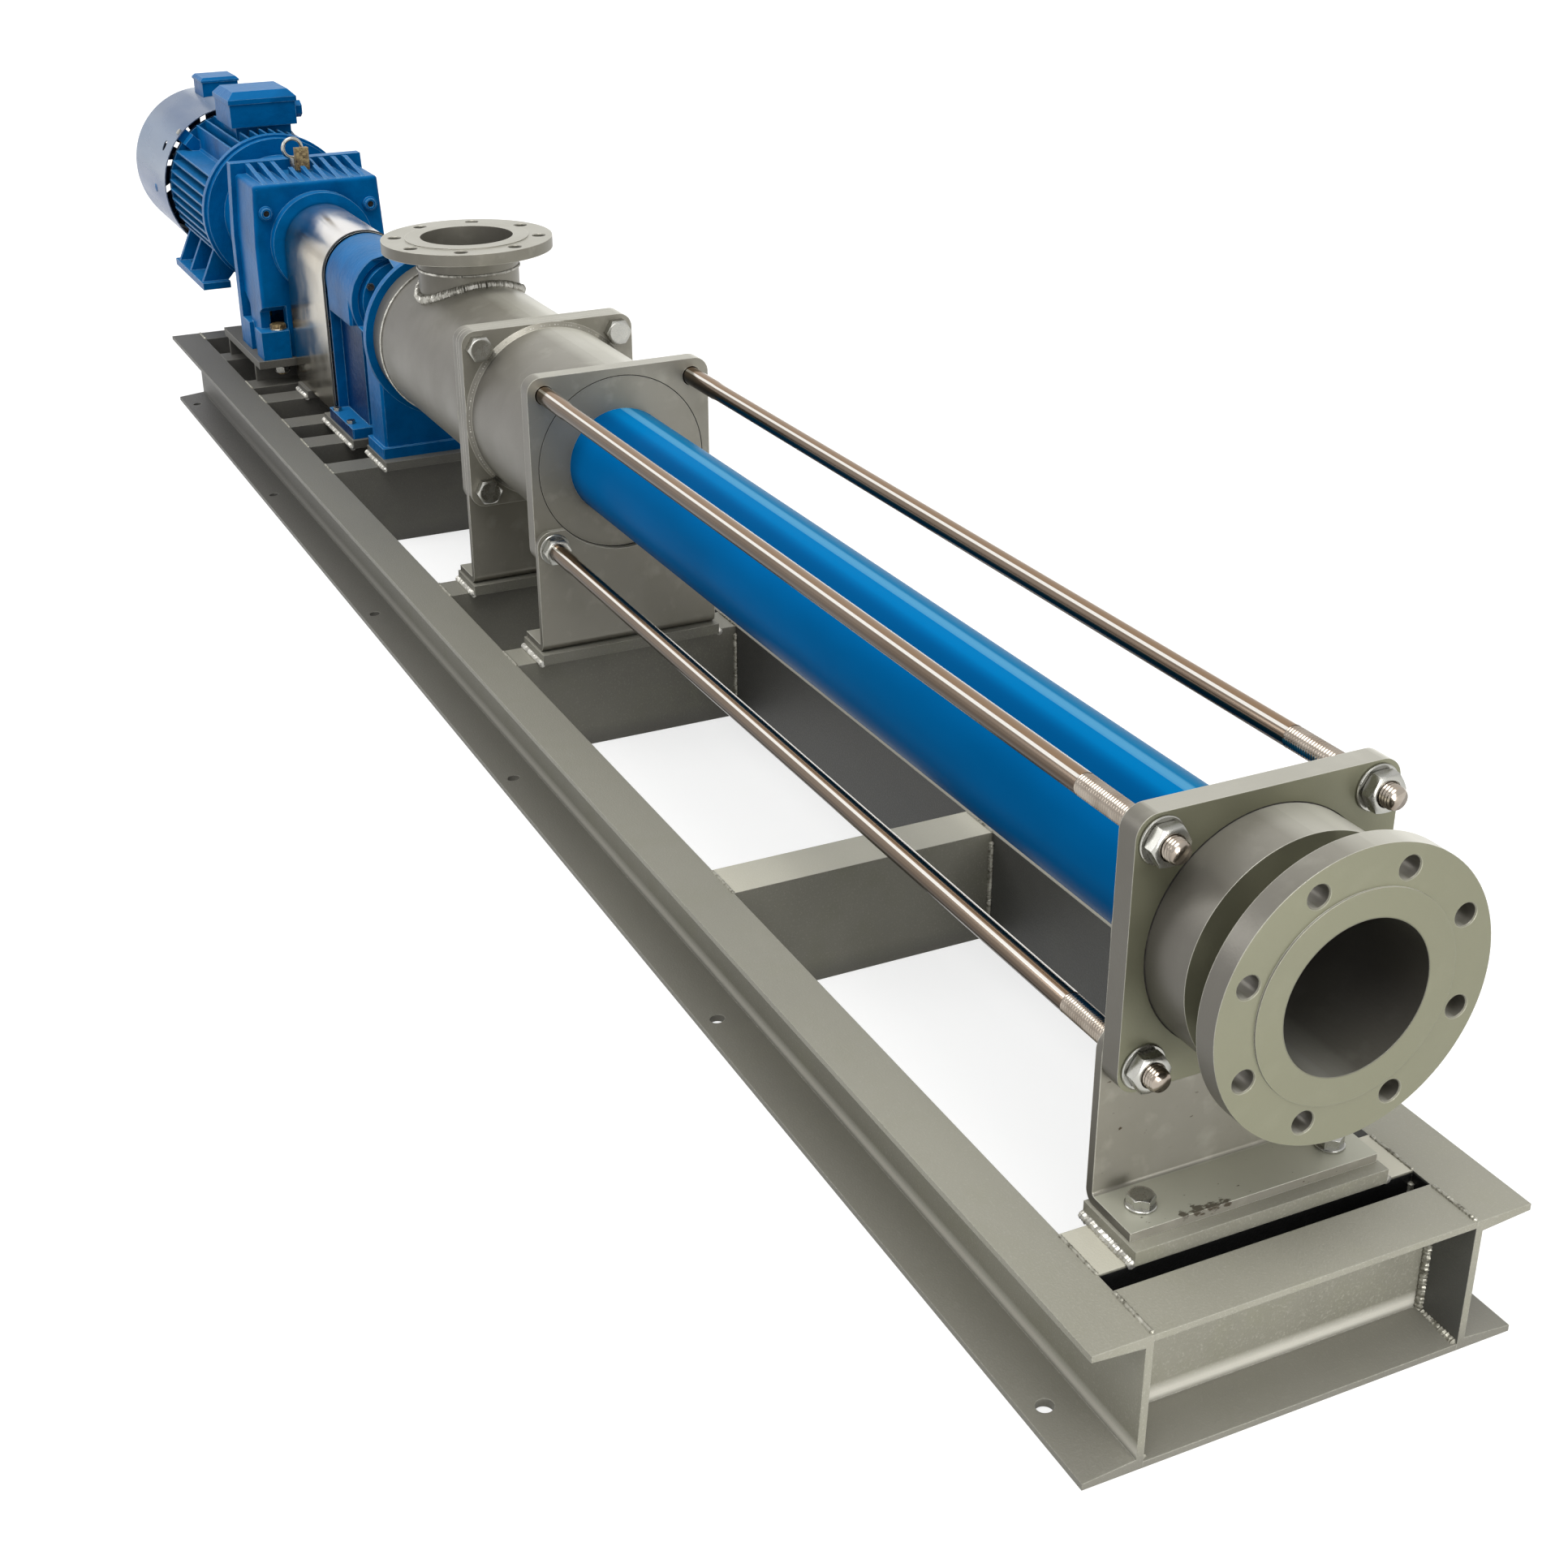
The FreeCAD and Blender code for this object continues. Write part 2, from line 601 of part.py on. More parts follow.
def end_channels():
    """Channels across both ends of the frame, with their flanges outwards."""
    body = new_body("end_channels")
    sketch = new_sketch(body, "side")
    for web_face, tip, into in (("frame_front - rail_flange", "frame_front", 1),
                                ("frame_rear + rail_flange", "frame_rear", -1)):
        polygon(sketch, channel_outline(web_face, tip, "floor_level", into))
    pad(body, sketch, "2 * web_inner", symmetric=True)


def cross_channels():
    """Channels between the rails, with their webs towards the discharge."""
    body = new_body("cross_channels")
    sketch = new_sketch(body, "side")
    for front in CROSS_FRONTS:
        polygon(sketch, channel_outline(front, f"{front} - rail_flange", "floor_level", -1))
    pad(body, sketch, "2 * web_inner", symmetric=True)


CROSS_FRONTS = [
    "cross_discharge", "cross_middle", "cross_inlet", "cross_joint", "cross_leg",
    "cross_column", "cross_column_rear", "cross_guard", "cross_gear_front", "cross_gear_rear",
]

# Support pads: front station, length, half width.
PADS = [
    ("discharge_foot_tip + 14", "pad_length", "pad_half"),
    ("inlet_bracket_face + pad_lead", "pad_length", "pad_half"),
    ("joint_bracket_face + pad_lead", "pad_length", "pad_half"),
    ("leg_front + leg_foot_lip + 22", "leg_length + 40", "leg_half + leg_foot_lip + 2"),
    ("column_front + column_foot_lead + 8", "column_front - barrel_end + 56", "column_foot_half + 3"),
    ("cross_guard + 8", "rail_flange + 16", "guard_half + 8"),
]


def support_pads():
    """Plates welded on the cross channels under the feet."""
    body = new_body("support_pads")
    sketch = new_sketch(body, "plan", "rail_top")
    for front, length, half in PADS:
        rectangle(sketch, f"{front} - ({length})", front, f"-({half})", half)
    pad(body, sketch, "pad_thick")
    tapped = new_sketch(body, "plan", "pad_top")
    for inside, toe in BRACKET_FEET:
        for side in (-1, 1):
            place = f"({inside} + {toe}) / 2"
            circle(tapped, place, f"{side} * foot_bolt_pitch", "foot_bolt / 2 + thread_gap")
    pocket(body, tapped, "pad_thick + 1")


def base_frame():
    side_rails()
    end_channels()
    cross_channels()
    support_pads()


def flange_holes(body, plane, face, thick, turn, centre="0"):
    """The ring of bolt holes of a pipe flange."""
    sketch = new_sketch(body, plane, face)
    for step in range(8):
        angle = f"({turn} + {45 * step})"
        u = f"flange_circle / 2 * cos({angle})"
        v = f"flange_circle / 2 * sin({angle})"
        if plane == "plan":
            u = f"{centre} + {u}"
        circle(sketch, u, v, "flange_hole / 2")
    pocket(body, sketch, f"{thick} + 2")


def chamfer_holes(body, face, axis):
    """Break the edges of the bolt holes on the flange face."""
    radius = number("flange_hole / 2")
    height = number(face)

    def chooser(edge):
        is_hole = edge.Curve.TypeId == "Part::GeomCircle" and is_near(edge.Curve.Radius, radius)
        return is_hole and is_near(getattr(edge.Curve.Center, axis), height)

    round_edges(body, "hole_chamfer", chooser, "Chamfer")


def discharge_body():
    """Discharge flange, neck and the turned stub that the clamp plate sits on."""
    body = turned("discharge_body", [
        ("face_rise", "flange_bore / 2"),
        ("face_rise", "face_od / 2"),
        ("0", "face_od / 2"),
        ("0", "flange_od / 2"),
        ("-flange_thick", "flange_od / 2"),
        ("-flange_thick", "neck_od / 2"),
        ("stub_front", "neck_od / 2"),
        ("stub_front", "stub_od / 2"),
        ("clamp_back", "stub_od / 2"),
        ("clamp_back", "collar_od / 2"),
        ("collar_back", "collar_od / 2"),
        ("collar_back", "flange_bore / 2"),
    ])
    flange_holes(body, "end", "0", "flange_thick", "flange_turn + 22.5")
    chamfer_holes(body, "0", "x")


def square_plate(label, front, thick, half, bores):
    """Square plate with rounded corners, rod holes and a middle bore."""
    body = new_body(label)
    sketch = new_sketch(body, "end", f"{front} - {thick}")
    rectangle(sketch, f"-{half}", half, f"-{half}", half)
    for u, v in corners_of("rod_pitch"):
        circle(sketch, u, v, "rod_shank_od / 2 + hole_gap")
    circle(sketch, "0", "0", bores)
    pad(body, sketch, thick)
    round_edges(body, "clamp_corner", corner_posts(half))
    return body


def bracket(label, face, foot_way, top, cut, holes):
    """Bent support plate: upright on the pump, foot on its pad."""
    body = new_body(label)
    back = f"{face} - bracket_thick"
    heel = face if foot_way < 0 else back
    toe = f"{heel} + {foot_way} * bracket_foot"
    inside = back if foot_way < 0 else face
    sketch = new_sketch(body, "side")
    polygon(sketch, [
        (heel, "pad_top"),
        (toe, "pad_top"),
        (toe, "pad_top + bracket_thick"),
        (inside, "pad_top + bracket_thick"),
        (inside, top),
        (heel, top),
    ])
    pad(body, sketch, "2 * clamp_half", symmetric=True)
    low = number("pad_top")
    bend = number(heel)
    seat_height = number("pad_top + bracket_thick")
    inner = number(inside)

    def outer_bend(edge):
        middle = edge.BoundBox.Center
        return along(edge, "y") and is_near(middle.z, low) and is_near(middle.x, bend)

    def inner_bend(edge):
        middle = edge.BoundBox.Center
        return along(edge, "y") and is_near(middle.z, seat_height) and is_near(middle.x, inner)

    round_edges(body, "bracket_bend", outer_bend)
    round_edges(body, "bracket_bend - bracket_thick", inner_bend)
    opening = new_sketch(body, "end", f"{face} + 1")
    circle(opening, "0", "0", cut)
    for u, v in holes:
        circle(opening, u, v, "rod_shank_od / 2 + hole_gap")
    pocket(body, opening, "bracket_thick + 2")
    crown = number(top)

    def crown_corner(edge):
        middle = edge.BoundBox.Center
        at_side = is_near(abs(middle.y), number("clamp_half"))
        return along(edge, "x") and at_side and is_near(middle.z, crown)

    round_edges(body, "clamp_corner", crown_corner)
    feet = new_sketch(body, "plan", "pad_top + bracket_thick + 1")
    for side in (-1, 1):
        circle(feet, f"({inside} + {toe}) / 2", f"{side} * foot_bolt_pitch", "foot_bolt / 2 + hole_gap")
    pocket(body, feet, "bracket_thick + 2")
    return body


def foot_bolts():
    """Hexagon bolts that hold the bracket feet on their pads."""
    places = []
    for inside, toe in BRACKET_FEET:
        places += [(f"({inside} + {toe}) / 2", f"{side} * foot_bolt_pitch") for side in (-1, 1)]
    groups("foot_bolts", "plan", [
        (places, [("circle", "foot_bolt")], "rail_top", "pad_thick + bracket_thick + washer_thick"),
        (places, [("hexagon", "foot_bolt_head")],
         "pad_top + bracket_thick + washer_thick", "foot_bolt_head_thick"),
    ])
    groups("washers", "plan", [
        (places, [("circle", "foot_bolt * 1.9"), ("circle", "foot_bolt + 2 * thread_gap")],
         "pad_top + bracket_thick", "washer_thick"),
    ])


BRACKET_FEET = [
    ("clamp_back", "clamp_back - bracket_thick + bracket_foot"),
    ("inlet_bracket_face - bracket_thick", "inlet_bracket_face - bracket_foot"),
    ("joint_bracket_face - bracket_thick", "joint_bracket_face - bracket_foot"),
]


def tie_rods():
    """Four rods that pull the clamp plates together over the stator."""
    front = "clamp_face + washer_thick + rod_nut_thick + rod_past_nut"
    back = "inlet_back - washer_thick - rod_nut_thick - 6"
    shank_front = "inlet_bracket_face + rod_shank"
    body = new_body("tie_rods")
    threaded = new_sketch(body, "end", shank_front)
    shank = new_sketch(body, "end", back)
    for u, v in corners_of("rod_pitch"):
        circle(threaded, u, v, "rod_od / 2")
        circle(shank, u, v, "rod_shank_od / 2")
    pad(body, threaded, f"{front} - ({shank_front})")
    pad(body, shank, f"{shank_front} - ({back})")


def rod_fasteners():
    """Nuts and washers at both ends of the tie rods."""
    low = corners_of("rod_pitch", rows=(-1,))
    every = corners_of("rod_pitch")
    front_nut = [("hexagon", "rod_nut"), ("circle", "rod_od + 2 * thread_gap")]
    rear_nut = [("hexagon", "rod_nut"), ("circle", "rod_shank_od + 2 * thread_gap")]
    front_washer = [("circle", "washer_od"), ("circle", "rod_od + 2 * hole_gap")]
    rear_washer = [("circle", "washer_od"), ("circle", "rod_shank_od + 2 * hole_gap")]
    groups("tie_rod_nuts", "end", [
        (every, front_nut, "clamp_face + washer_thick", "rod_nut_thick"),
        (low, rear_nut, "inlet_bracket_face + washer_thick", "rod_nut_thick"),
        (every, rear_nut, "inlet_back - washer_thick - rod_nut_thick", "rod_nut_thick"),
    ])
    washers = next(item for item in parts if item.Label == "washers")
    groups(washers, "end", [
        (every, front_washer, "clamp_face", "washer_thick"),
        (low, rear_washer, "inlet_bracket_face", "washer_thick"),
        (every, rear_washer, "inlet_back - washer_thick", "washer_thick"),
    ])


def plates_and_brackets():
    """The discharge clamp plate and the three bolted brackets."""
    low = corners_of("rod_pitch", rows=(-1,))
    square_plate("discharge_clamp_plate", "clamp_face", "clamp_thick", "clamp_half",
                 "stub_od / 2 + fit_gap")
    bracket("discharge_support", "clamp_back", 1, "bracket_top", "collar_od / 2 + 1", low)
    bracket("stator_support", "inlet_bracket_face", -1, "bracket_top", "ring_od / 2 + 1", low)
    bracket("spool_support", "joint_bracket_face", -1, "clamp_half", "housing_inner / 2",
            corners_of("rod_pitch"))


def inlet_clamp_plate():
    """Square plate with the seat for the stator end ring."""
    body = square_plate("inlet_clamp_plate", "stator_face", "clamp_thick", "clamp_half", "clamp_bore / 2")
    seat_sketch = new_sketch(body, "end", "stator_face")
    circle(seat_sketch, "0", "0", "ring_od / 2 + fit_gap")
    pocket(body, seat_sketch, "stator_face - counterbore_back")


def stator():
    """Steel tube, its end rings, gaskets and the rubber lining with a twin helix."""
    ring("stator_tube", "outlet_ring_face", "stator_back", "stator_od / 2", "liner_od / 2")
    rings = ring("stator_end_rings", "outlet_ring_face", "outlet_ring_back",
                 "outlet_ring_od / 2", "stator_od / 2")
    revolve(rings, [
        ("stator_face", "stator_od / 2"),
        ("stator_face", "ring_od / 2"),
        ("stator_back", "ring_od / 2"),
        ("stator_back", "stator_od / 2"),
    ])
    gaskets = ring("stator_gaskets", "collar_back", "outlet_ring_face",
                   "outlet_ring_od / 2", "flange_bore / 2")
    revolve(gaskets, [
        ("stator_back", "liner_od / 2"),
        ("stator_back", "ring_od / 2"),
        ("counterbore_back", "ring_od / 2"),
        ("counterbore_back", "liner_od / 2"),
    ])
    stator_liner()


def slot_wire(x, angle, radius, reach):
    """Section of the stator cavity: a straight slot with round ends."""
    along_slot = Vector(0, math.cos(angle), math.sin(angle))
    across = Vector(0, -math.sin(angle), math.cos(angle))
    middle = Vector(x, 0, 0)

    def at(lengthways, sideways):
        return middle + along_slot * lengthways + across * sideways

    edges = [
        Part.LineSegment(at(-reach, -radius), at(reach, -radius)).toShape(),
        Part.Arc(at(reach, -radius), at(reach + radius, 0), at(reach, radius)).toShape(),
        Part.LineSegment(at(reach, radius), at(-reach, radius)).toShape(),
        Part.Arc(at(-reach, radius), at(-reach - radius, 0), at(-reach, -radius)).toShape(),
    ]
    return Part.Wire(edges)


def stations(start, end, pitch):
    """Even stations between two ends, with a whole number of them to a pitch."""
    count = max(2, math.ceil(abs(end - start) / pitch * SECTIONS_PER_PITCH))
    return [start + (end - start) * step / count for step in range(count + 1)]


# Sections of the helical lofts in one pitch of the rotor.
SECTIONS_PER_PITCH = 10
# Direction of the rotor's offset from the pump axis at rest, from +Y towards +Z.
REST_ANGLE = math.pi / 2


def stator_liner():
    """Rubber lining whose cavity turns at half the rate of the rotor."""
    front = value("outlet_ring_face")
    back = value("stator_back")
    pitch = value("rotor_pitch")
    radius = value("rotor_od") / 2 + value("fit_gap")
    reach = 2 * value("eccentric")
    wires = [
        slot_wire(x, REST_ANGLE + math.pi * x / pitch, radius, reach)
        for x in stations(front, back, pitch)
    ]
    cavity = Part.makeLoft(wires, True, False)
    outside = Part.makeCylinder(value("liner_od") / 2, front - back, Vector(back, 0, 0), Vector(1, 0, 0))
    free_shape("stator_liner", outside.cut(cavity))


def rotor():
    """Single helix rotor with the cup of its joint turned on its rear end."""
    front = value("rotor_front")
    back = value("rotor_head_front")
    pitch = value("rotor_pitch")
    offset = value("eccentric")
    wires = []
    for x in stations(front, back, pitch):
        angle = REST_ANGLE + FULL_TURN * RADIANS * x / pitch
        centre = Vector(x, offset * math.cos(angle), offset * math.sin(angle))
        section = Part.Circle(centre, Vector(1, 0, 0), value("rotor_od") / 2)
        wires.append(Part.Wire(section.toShape()))
    helix = Part.makeLoft(wires, True, False)
    ball = value("rotor_ball_station")
    rear = ball - value("cup_reach")
    floor = ball + value("ball_od") / 2 + 2
    head = Part.makeCylinder(value("head_od") / 2, back - rear, Vector(rear, 0, 0), Vector(1, 0, 0))
    cup_radius = value("ball_od") / 2 + value("fit_gap")
    cup = Part.makeCylinder(cup_radius, floor - rear, Vector(rear, 0, 0), Vector(1, 0, 0))
    free_shape("rotor", helix.fuse(head).cut(cup), z=offset)


RADIANS = math.pi / 180


def spool():
    """Pipe between the clamp plate and the bolted joint, with its joint plate."""
    body = square_plate("spool", "joint_face", "joint_thick", "clamp_half", "housing_inner / 2")
    revolve(body, [
        ("inlet_back", "housing_inner / 2"),
        ("inlet_back", "pipe_od / 2"),
        ("joint_face + weld_size", "pipe_od / 2"),
        ("joint_face", "pipe_od / 2 + weld_size"),
        ("joint_face - 1", "pipe_od / 2 + weld_size"),
        ("joint_face - 1", "housing_inner / 2"),
    ])


def joint_fasteners():
    """Hexagon bolts and nuts through the joint plates and their bracket."""
    centres = corners_of("rod_pitch")
    grip = "joint_face - joint_back"
    groups("joint_bolts", "end", [
        (centres, [("circle", "joint_bolt")], "joint_back - 30", f"{grip} + 30"),
        (centres, [("hexagon", "joint_bolt_head")], "joint_face", "joint_bolt_head_thick"),
        (centres, [("hexagon", "joint_bolt_head"), ("circle", "joint_bolt + 2 * thread_gap")],
         "joint_back - 20", "20"),
    ])


def suction_housing():
    """Suction pipe with its joint plate, end ring, branch and flange."""
    body = square_plate("suction_housing", "joint_rear_face", "joint_thick", "clamp_half",
                        "housing_inner / 2")
    revolve(body, [
        ("joint_back + 1", "0"),
        ("joint_back + 1", "pipe_od / 2 + weld_size"),
        ("joint_back", "pipe_od / 2 + weld_size"),
        ("joint_back - weld_size", "pipe_od / 2"),
        ("housing_end", "pipe_od / 2"),
        ("housing_end", "0"),
    ])
    branch = new_sketch(body, "plan", "0")
    circle(branch, "suction_station", "0", "neck_od / 2")
    pad(body, branch, "suction_face - face_rise")
    flange = new_sketch(body, "plan", "suction_face - face_rise - suction_flange_thick")
    circle(flange, "suction_station", "0", "flange_od / 2")
    pad(body, flange, "suction_flange_thick")
    face = new_sketch(body, "plan", "suction_face - face_rise")
    circle(face, "suction_station", "0", "face_od / 2")
    pad(body, face, "face_rise")
    bore = new_sketch(body, "plan", "suction_face + 1")
    circle(bore, "suction_station", "0", "neck_od / 2 - branch_wall")
    pocket(body, bore, "suction_face + 1")
    revolve(body, [
        ("joint_back + 1", "0"),
        ("joint_back + 1", "housing_inner / 2"),
        ("housing_end + end_wall", "housing_inner / 2"),
        ("housing_end + end_wall", "0"),
    ], "Groove")
    revolve(body, [
        ("housing_end + end_wall + 1", "0"),
        ("housing_end + end_wall + 1", "gland_od / 2"),
        ("housing_end - 1", "gland_od / 2"),
        ("housing_end - 1", "0"),
    ], "Groove")
    flange_holes(body, "plan", "suction_face - face_rise", "suction_flange_thick",
                 "suction_flange_turn", "suction_station")
    chamfer_holes(body, "suction_face - face_rise", "z")


def shaft_seal():
    """Stationary seat in the end wall and the ring that turns with the shaft."""
    ring("seal_seat", "housing_end + end_wall", "housing_end", "gland_od / 2",
         "drive_shaft_od / 2 + 2")
    ring("seal_ring", "housing_end + end_wall + 12", "housing_end + end_wall + fit_gap",
         "gland_od / 2 - 12", "drive_shaft_od / 2")


def box_pad(body, back, front, half, low, high, bevel="2"):
    """An upright block with bevelled corners, between two heights."""
    sketch = new_sketch(body, "plan", low)
    corners = []
    for x, inward, side in ((back, 1, -1), (front, -1, -1), (front, -1, 1), (back, 1, 1)):
        near_end = (x, f"{side} * ({half} - {bevel})")
        near_side = (f"{x} + {inward} * {bevel}", f"{side} * ({half})")
        corners += [near_end, near_side] if inward * side < 0 else [near_side, near_end]
    polygon(sketch, corners)
    pad(body, sketch, f"{high} - ({low})")


def bearing_housing():
    """Blue casting: ring flange, windowed lantern, bearing barrel, leg and column."""
    body = turned("bearing_housing", [
        ("housing_end", "0"),
        ("housing_end", "lantern_flange_od / 2"),
        ("lantern_face", "lantern_flange_od / 2"),
        ("lantern_face", "lantern_od / 2"),
        ("lantern_end", "lantern_tail / 2"),
        ("lantern_end - (lantern_tail - barrel_od) / 2", "barrel_od / 2"),
        ("barrel_end", "barrel_od / 2"),
        ("barrel_end", "0"),
    ])
    leg_back = "leg_front - leg_length"
    foot_top = "pad_top + leg_foot_thick"
    box_pad(body, leg_back, "leg_front", "leg_half", "pad_top", "-barrel_od / 4", "5")
    box_pad(body, f"{leg_back} - leg_foot_lip", "leg_front + leg_foot_lip",
            "leg_half + leg_foot_lip", "pad_top", foot_top)
    box_pad(body, "barrel_end", "column_front", "column_half", "pad_top", "0", "5")
    box_pad(body, "barrel_end", "column_front + column_foot_lead", "column_foot_half",
            "pad_top", foot_top)
    box_pad(body, "column_front", leg_back, "lantern_wall", "pad_top + 2 * leg_foot_thick",
            "-barrel_od / 4")
    for offset in ("column_half", "column_recess - column_half"):
        panel = new_sketch(body, "side", offset)
        rectangle(panel, "barrel_end + column_rim", "column_front + 1", foot_top,
                  "-0.34 * barrel_od")
        pocket(body, panel, "column_recess")
    revolve(body, [
        ("housing_end + 1", "0"),
        ("housing_end + 1", "lantern_od / 2 - lantern_wall"),
        ("lantern_face", "lantern_od / 2 - lantern_wall"),
        ("lantern_end + lantern_wall", "lantern_tail / 2 - lantern_wall"),
        ("lantern_end + lantern_wall", "barrel_bore / 2"),
        ("barrel_end - 1", "barrel_bore / 2"),
        ("barrel_end - 1", "0"),
    ], "Groove")
    window = new_sketch(body, "side")
    back = "lantern_end + 1.25 * lantern_wall"
    front = f"{back} + window_length"
    polygon(window, [
        (back, "window_low"),
        (front, "window_low"),
        (front, "window_high - window_corner"),
        (f"{front} - window_corner", "window_high"),
        (f"{back} + 2 * window_corner", "window_high"),
        (back, "window_high - window_corner"),
    ])
    pocket(body, window, "lantern_od + 2", symmetric=True)
    foot_holes = new_sketch(body, "plan", f"{foot_top} + 1")
    for u, v in COLUMN_BOLTS:
        circle(foot_holes, u, v, "column_bolt / 2 + hole_gap")
    pocket(body, foot_holes, "leg_foot_thick + 2")


COLUMN_BOLTS = [
    (station, f"{side} * (column_foot_half + column_half) / 2")
    for station in ("column_front - 30", "barrel_end + 30") for side in (-1, 1)
]


def bearings():
    """Two roller bearings: outer rings, rollers and the inner rings on the shaft."""
    inner = "journal_od / 2 + roller_od * 0.3"
    centre = f"{inner} + run_gap + roller_od / 2"
    outer = f"{centre} + roller_od / 2 + run_gap"
    fronts = ("bearing_front_station", "bearing_rear_station")
    races = new_body("bearing_outer_rings")
    hubs = new_body("bearing_inner_rings")
    for front in fronts:
        back = f"{front} - bearing_width"
        race = new_sketch(races, "end", back)
        circle(race, "0", "0", "barrel_bore / 2")
        circle(race, "0", "0", outer)
        pad(races, race, "bearing_width")
        hub = new_sketch(hubs, "end", back)
        circle(hub, "0", "0", inner)
        circle(hub, "0", "0", "journal_od / 2")
        pad(hubs, hub, "bearing_width")
        row = new_sketch(races, "end", f"{back} + 3")
        for step in range(ROLLERS):
            angle = FULL_TURN * step / ROLLERS
            circle(row, f"({centre}) * cos({angle})", f"({centre}) * sin({angle})", "roller_od / 2")
        pad(races, row, "bearing_width - 6")


ROLLERS = 10


def shaft_covers():
    """Covers around the drive shaft: over the seal and on both ends of the barrel."""
    body = new_body("shaft_covers")
    barrel = ("barrel_bore / 2 + 14", "journal_od / 2 + 1")
    for face, (outer, bore) in (
        ("housing_end - cover_thick", ("gland_od / 2 + 18", "drive_shaft_od / 2 + 2")),
        ("lantern_end + lantern_wall", barrel),
        ("barrel_end - cover_thick", barrel),
    ):
        sketch = new_sketch(body, "end", face)
        circle(sketch, "0", "0", outer)
        circle(sketch, "0", "0", bore)
        pad(body, sketch, "cover_thick")


def machine_screws():
    """Small hexagon screws of the covers, casting feet, guard and cowl."""
    reach = "(barrel_bore / 2 + 7)"
    around = [(f"{reach} * cos({HEX_STEP * step + 30})", f"{reach} * sin({HEX_STEP * step + 30})")
              for step in range(6)]
    head = [("hexagon", "screw_head")]
    body = groups("machine_screws", "end", [
        (around, head, "lantern_end + lantern_wall + cover_thick", "screw_head_thick"),
        (around, head, "barrel_end - cover_thick - screw_head_thick", "screw_head_thick"),
    ])
    guard_feet = [
        (station, f"{side} * (guard_half - guard_foot / 2)")
        for station in ("guard_front - 12", "cross_guard - rail_flange / 2") for side in (-1, 1)
    ]
    groups(body, "plan", [
        (COLUMN_BOLTS, [("circle", "column_bolt")], "pad_top", "leg_foot_thick"),
        (COLUMN_BOLTS, [("hexagon", "column_bolt * 1.5")],
         "pad_top + leg_foot_thick", "column_bolt * 0.65"),
        (guard_feet, head, "pad_top + guard_sheet", "screw_head_thick"),
    ])
    for angle in DIAGONALS:
        sketch = radial_sketch(body, angle, "cowl_od / 2")
        hexagon(sketch, "motor_body_end - shield_thick / 2", "0", "screw_head")
        pad(body, sketch, "screw_head_thick - 1")


def drive_shaft():
    """Drive shaft with the cup of the rod joint at its front."""
    front = "joint_station + cup_reach"
    floor = "joint_station - ball_od / 2 - 2"
    head_back = f"{front} - head_length"
    journal_front = "bearing_front_station + 10"
    journal_back = "bearing_rear_station - bearing_width - 7"
    tail = "coupling_front - hub_length + 6"
    turned("drive_shaft", [
        (floor, "0"),
        (floor, "ball_od / 2 + fit_gap"),
        (front, "ball_od / 2 + fit_gap"),
        (front, "head_od / 2"),
        (head_back, "head_od / 2"),
        (head_back, "drive_shaft_od / 2"),
        (journal_front, "drive_shaft_od / 2"),
        (journal_front, "journal_od / 2"),
        (journal_back, "journal_od / 2"),
        (journal_back, "drive_shaft_od / 2"),
        (tail, "drive_shaft_od / 2"),
        (tail, "0"),
    ])


def x_cylinder(name, front, back, radius, turn=0, sector=FULL_TURN):
    """A round bar along the pump, or a sector of one."""
    bar = doc.addObject("Part::Cylinder", name)
    bar.Placement = Placement(
        Vector(), Rotation(Vector(0, 1, 0), 90) * Rotation(Vector(0, 0, 1), turn)
    )
    bind(bar, "Placement.Base.x", back)
    bind(bar, "Radius", radius)
    bind(bar, "Height", f"{front} - ({back})")
    bar.Angle = sector
    return bar


def fuse(name, pieces):
    item = doc.addObject("Part::MultiFuse", name)
    item.Shapes = pieces
    return item


def cut(name, base, tool):
    item = doc.addObject("Part::Cut", name)
    item.Base = base
    item.Tool = tool
    return item


def connecting_rod():
    """Rod with a ball at each end, tilted from the shaft to the rotor axis."""
    reach = "sqrt((rotor_ball_station - joint_station)^2 + eccentric^2)"
    bar = x_cylinder("rod_bar", reach, "0", "rod_body_od / 2")
    balls = []
    for name, place in (("rod_ball_drive", "0"), ("rod_ball_rotor", reach)):
        ball = doc.addObject("Part::Sphere", name)
        bind(ball, "Radius", "ball_od / 2")
        bind(ball, "Placement.Base.x", place)
        balls.append(ball)
    rod = fuse("connecting_rod", [bar, *balls])
    rod.Label = "connecting_rod"
    rod.Placement = Placement(Vector(), Rotation(Vector(0, -1, 0), 1))
    bind(rod, "Placement.Rotation.Angle",
         "atan(eccentric / (rotor_ball_station - joint_station))")
    seat(rod, "joint_station")


def coupling_hub(label, front, back, jaw_front, jaw_back, bore, turn):
    """Coupling hub with three jaws on one face."""
    pieces = [x_cylinder(f"{label}_disc", front, back, "coupling_od / 2")]
    for step in range(3):
        pieces.append(x_cylinder(f"{label}_jaw", jaw_front, jaw_back, "coupling_od / 2",
                                 turn + 2 * HEX_STEP * step, JAW_SECTOR))
    blank = fuse(f"{label}_blank", pieces)
    hollow = fuse(f"{label}_hollow", [
        x_cylinder(f"{label}_bore", f"{front} + 1", f"{back} - 1", bore),
        x_cylinder(f"{label}_middle", jaw_front, jaw_back, "coupling_od / 4"),
    ])
    hub = cut(label, blank, hollow)
    hub.Label = label
    seat(hub)


JAW_SECTOR = 44


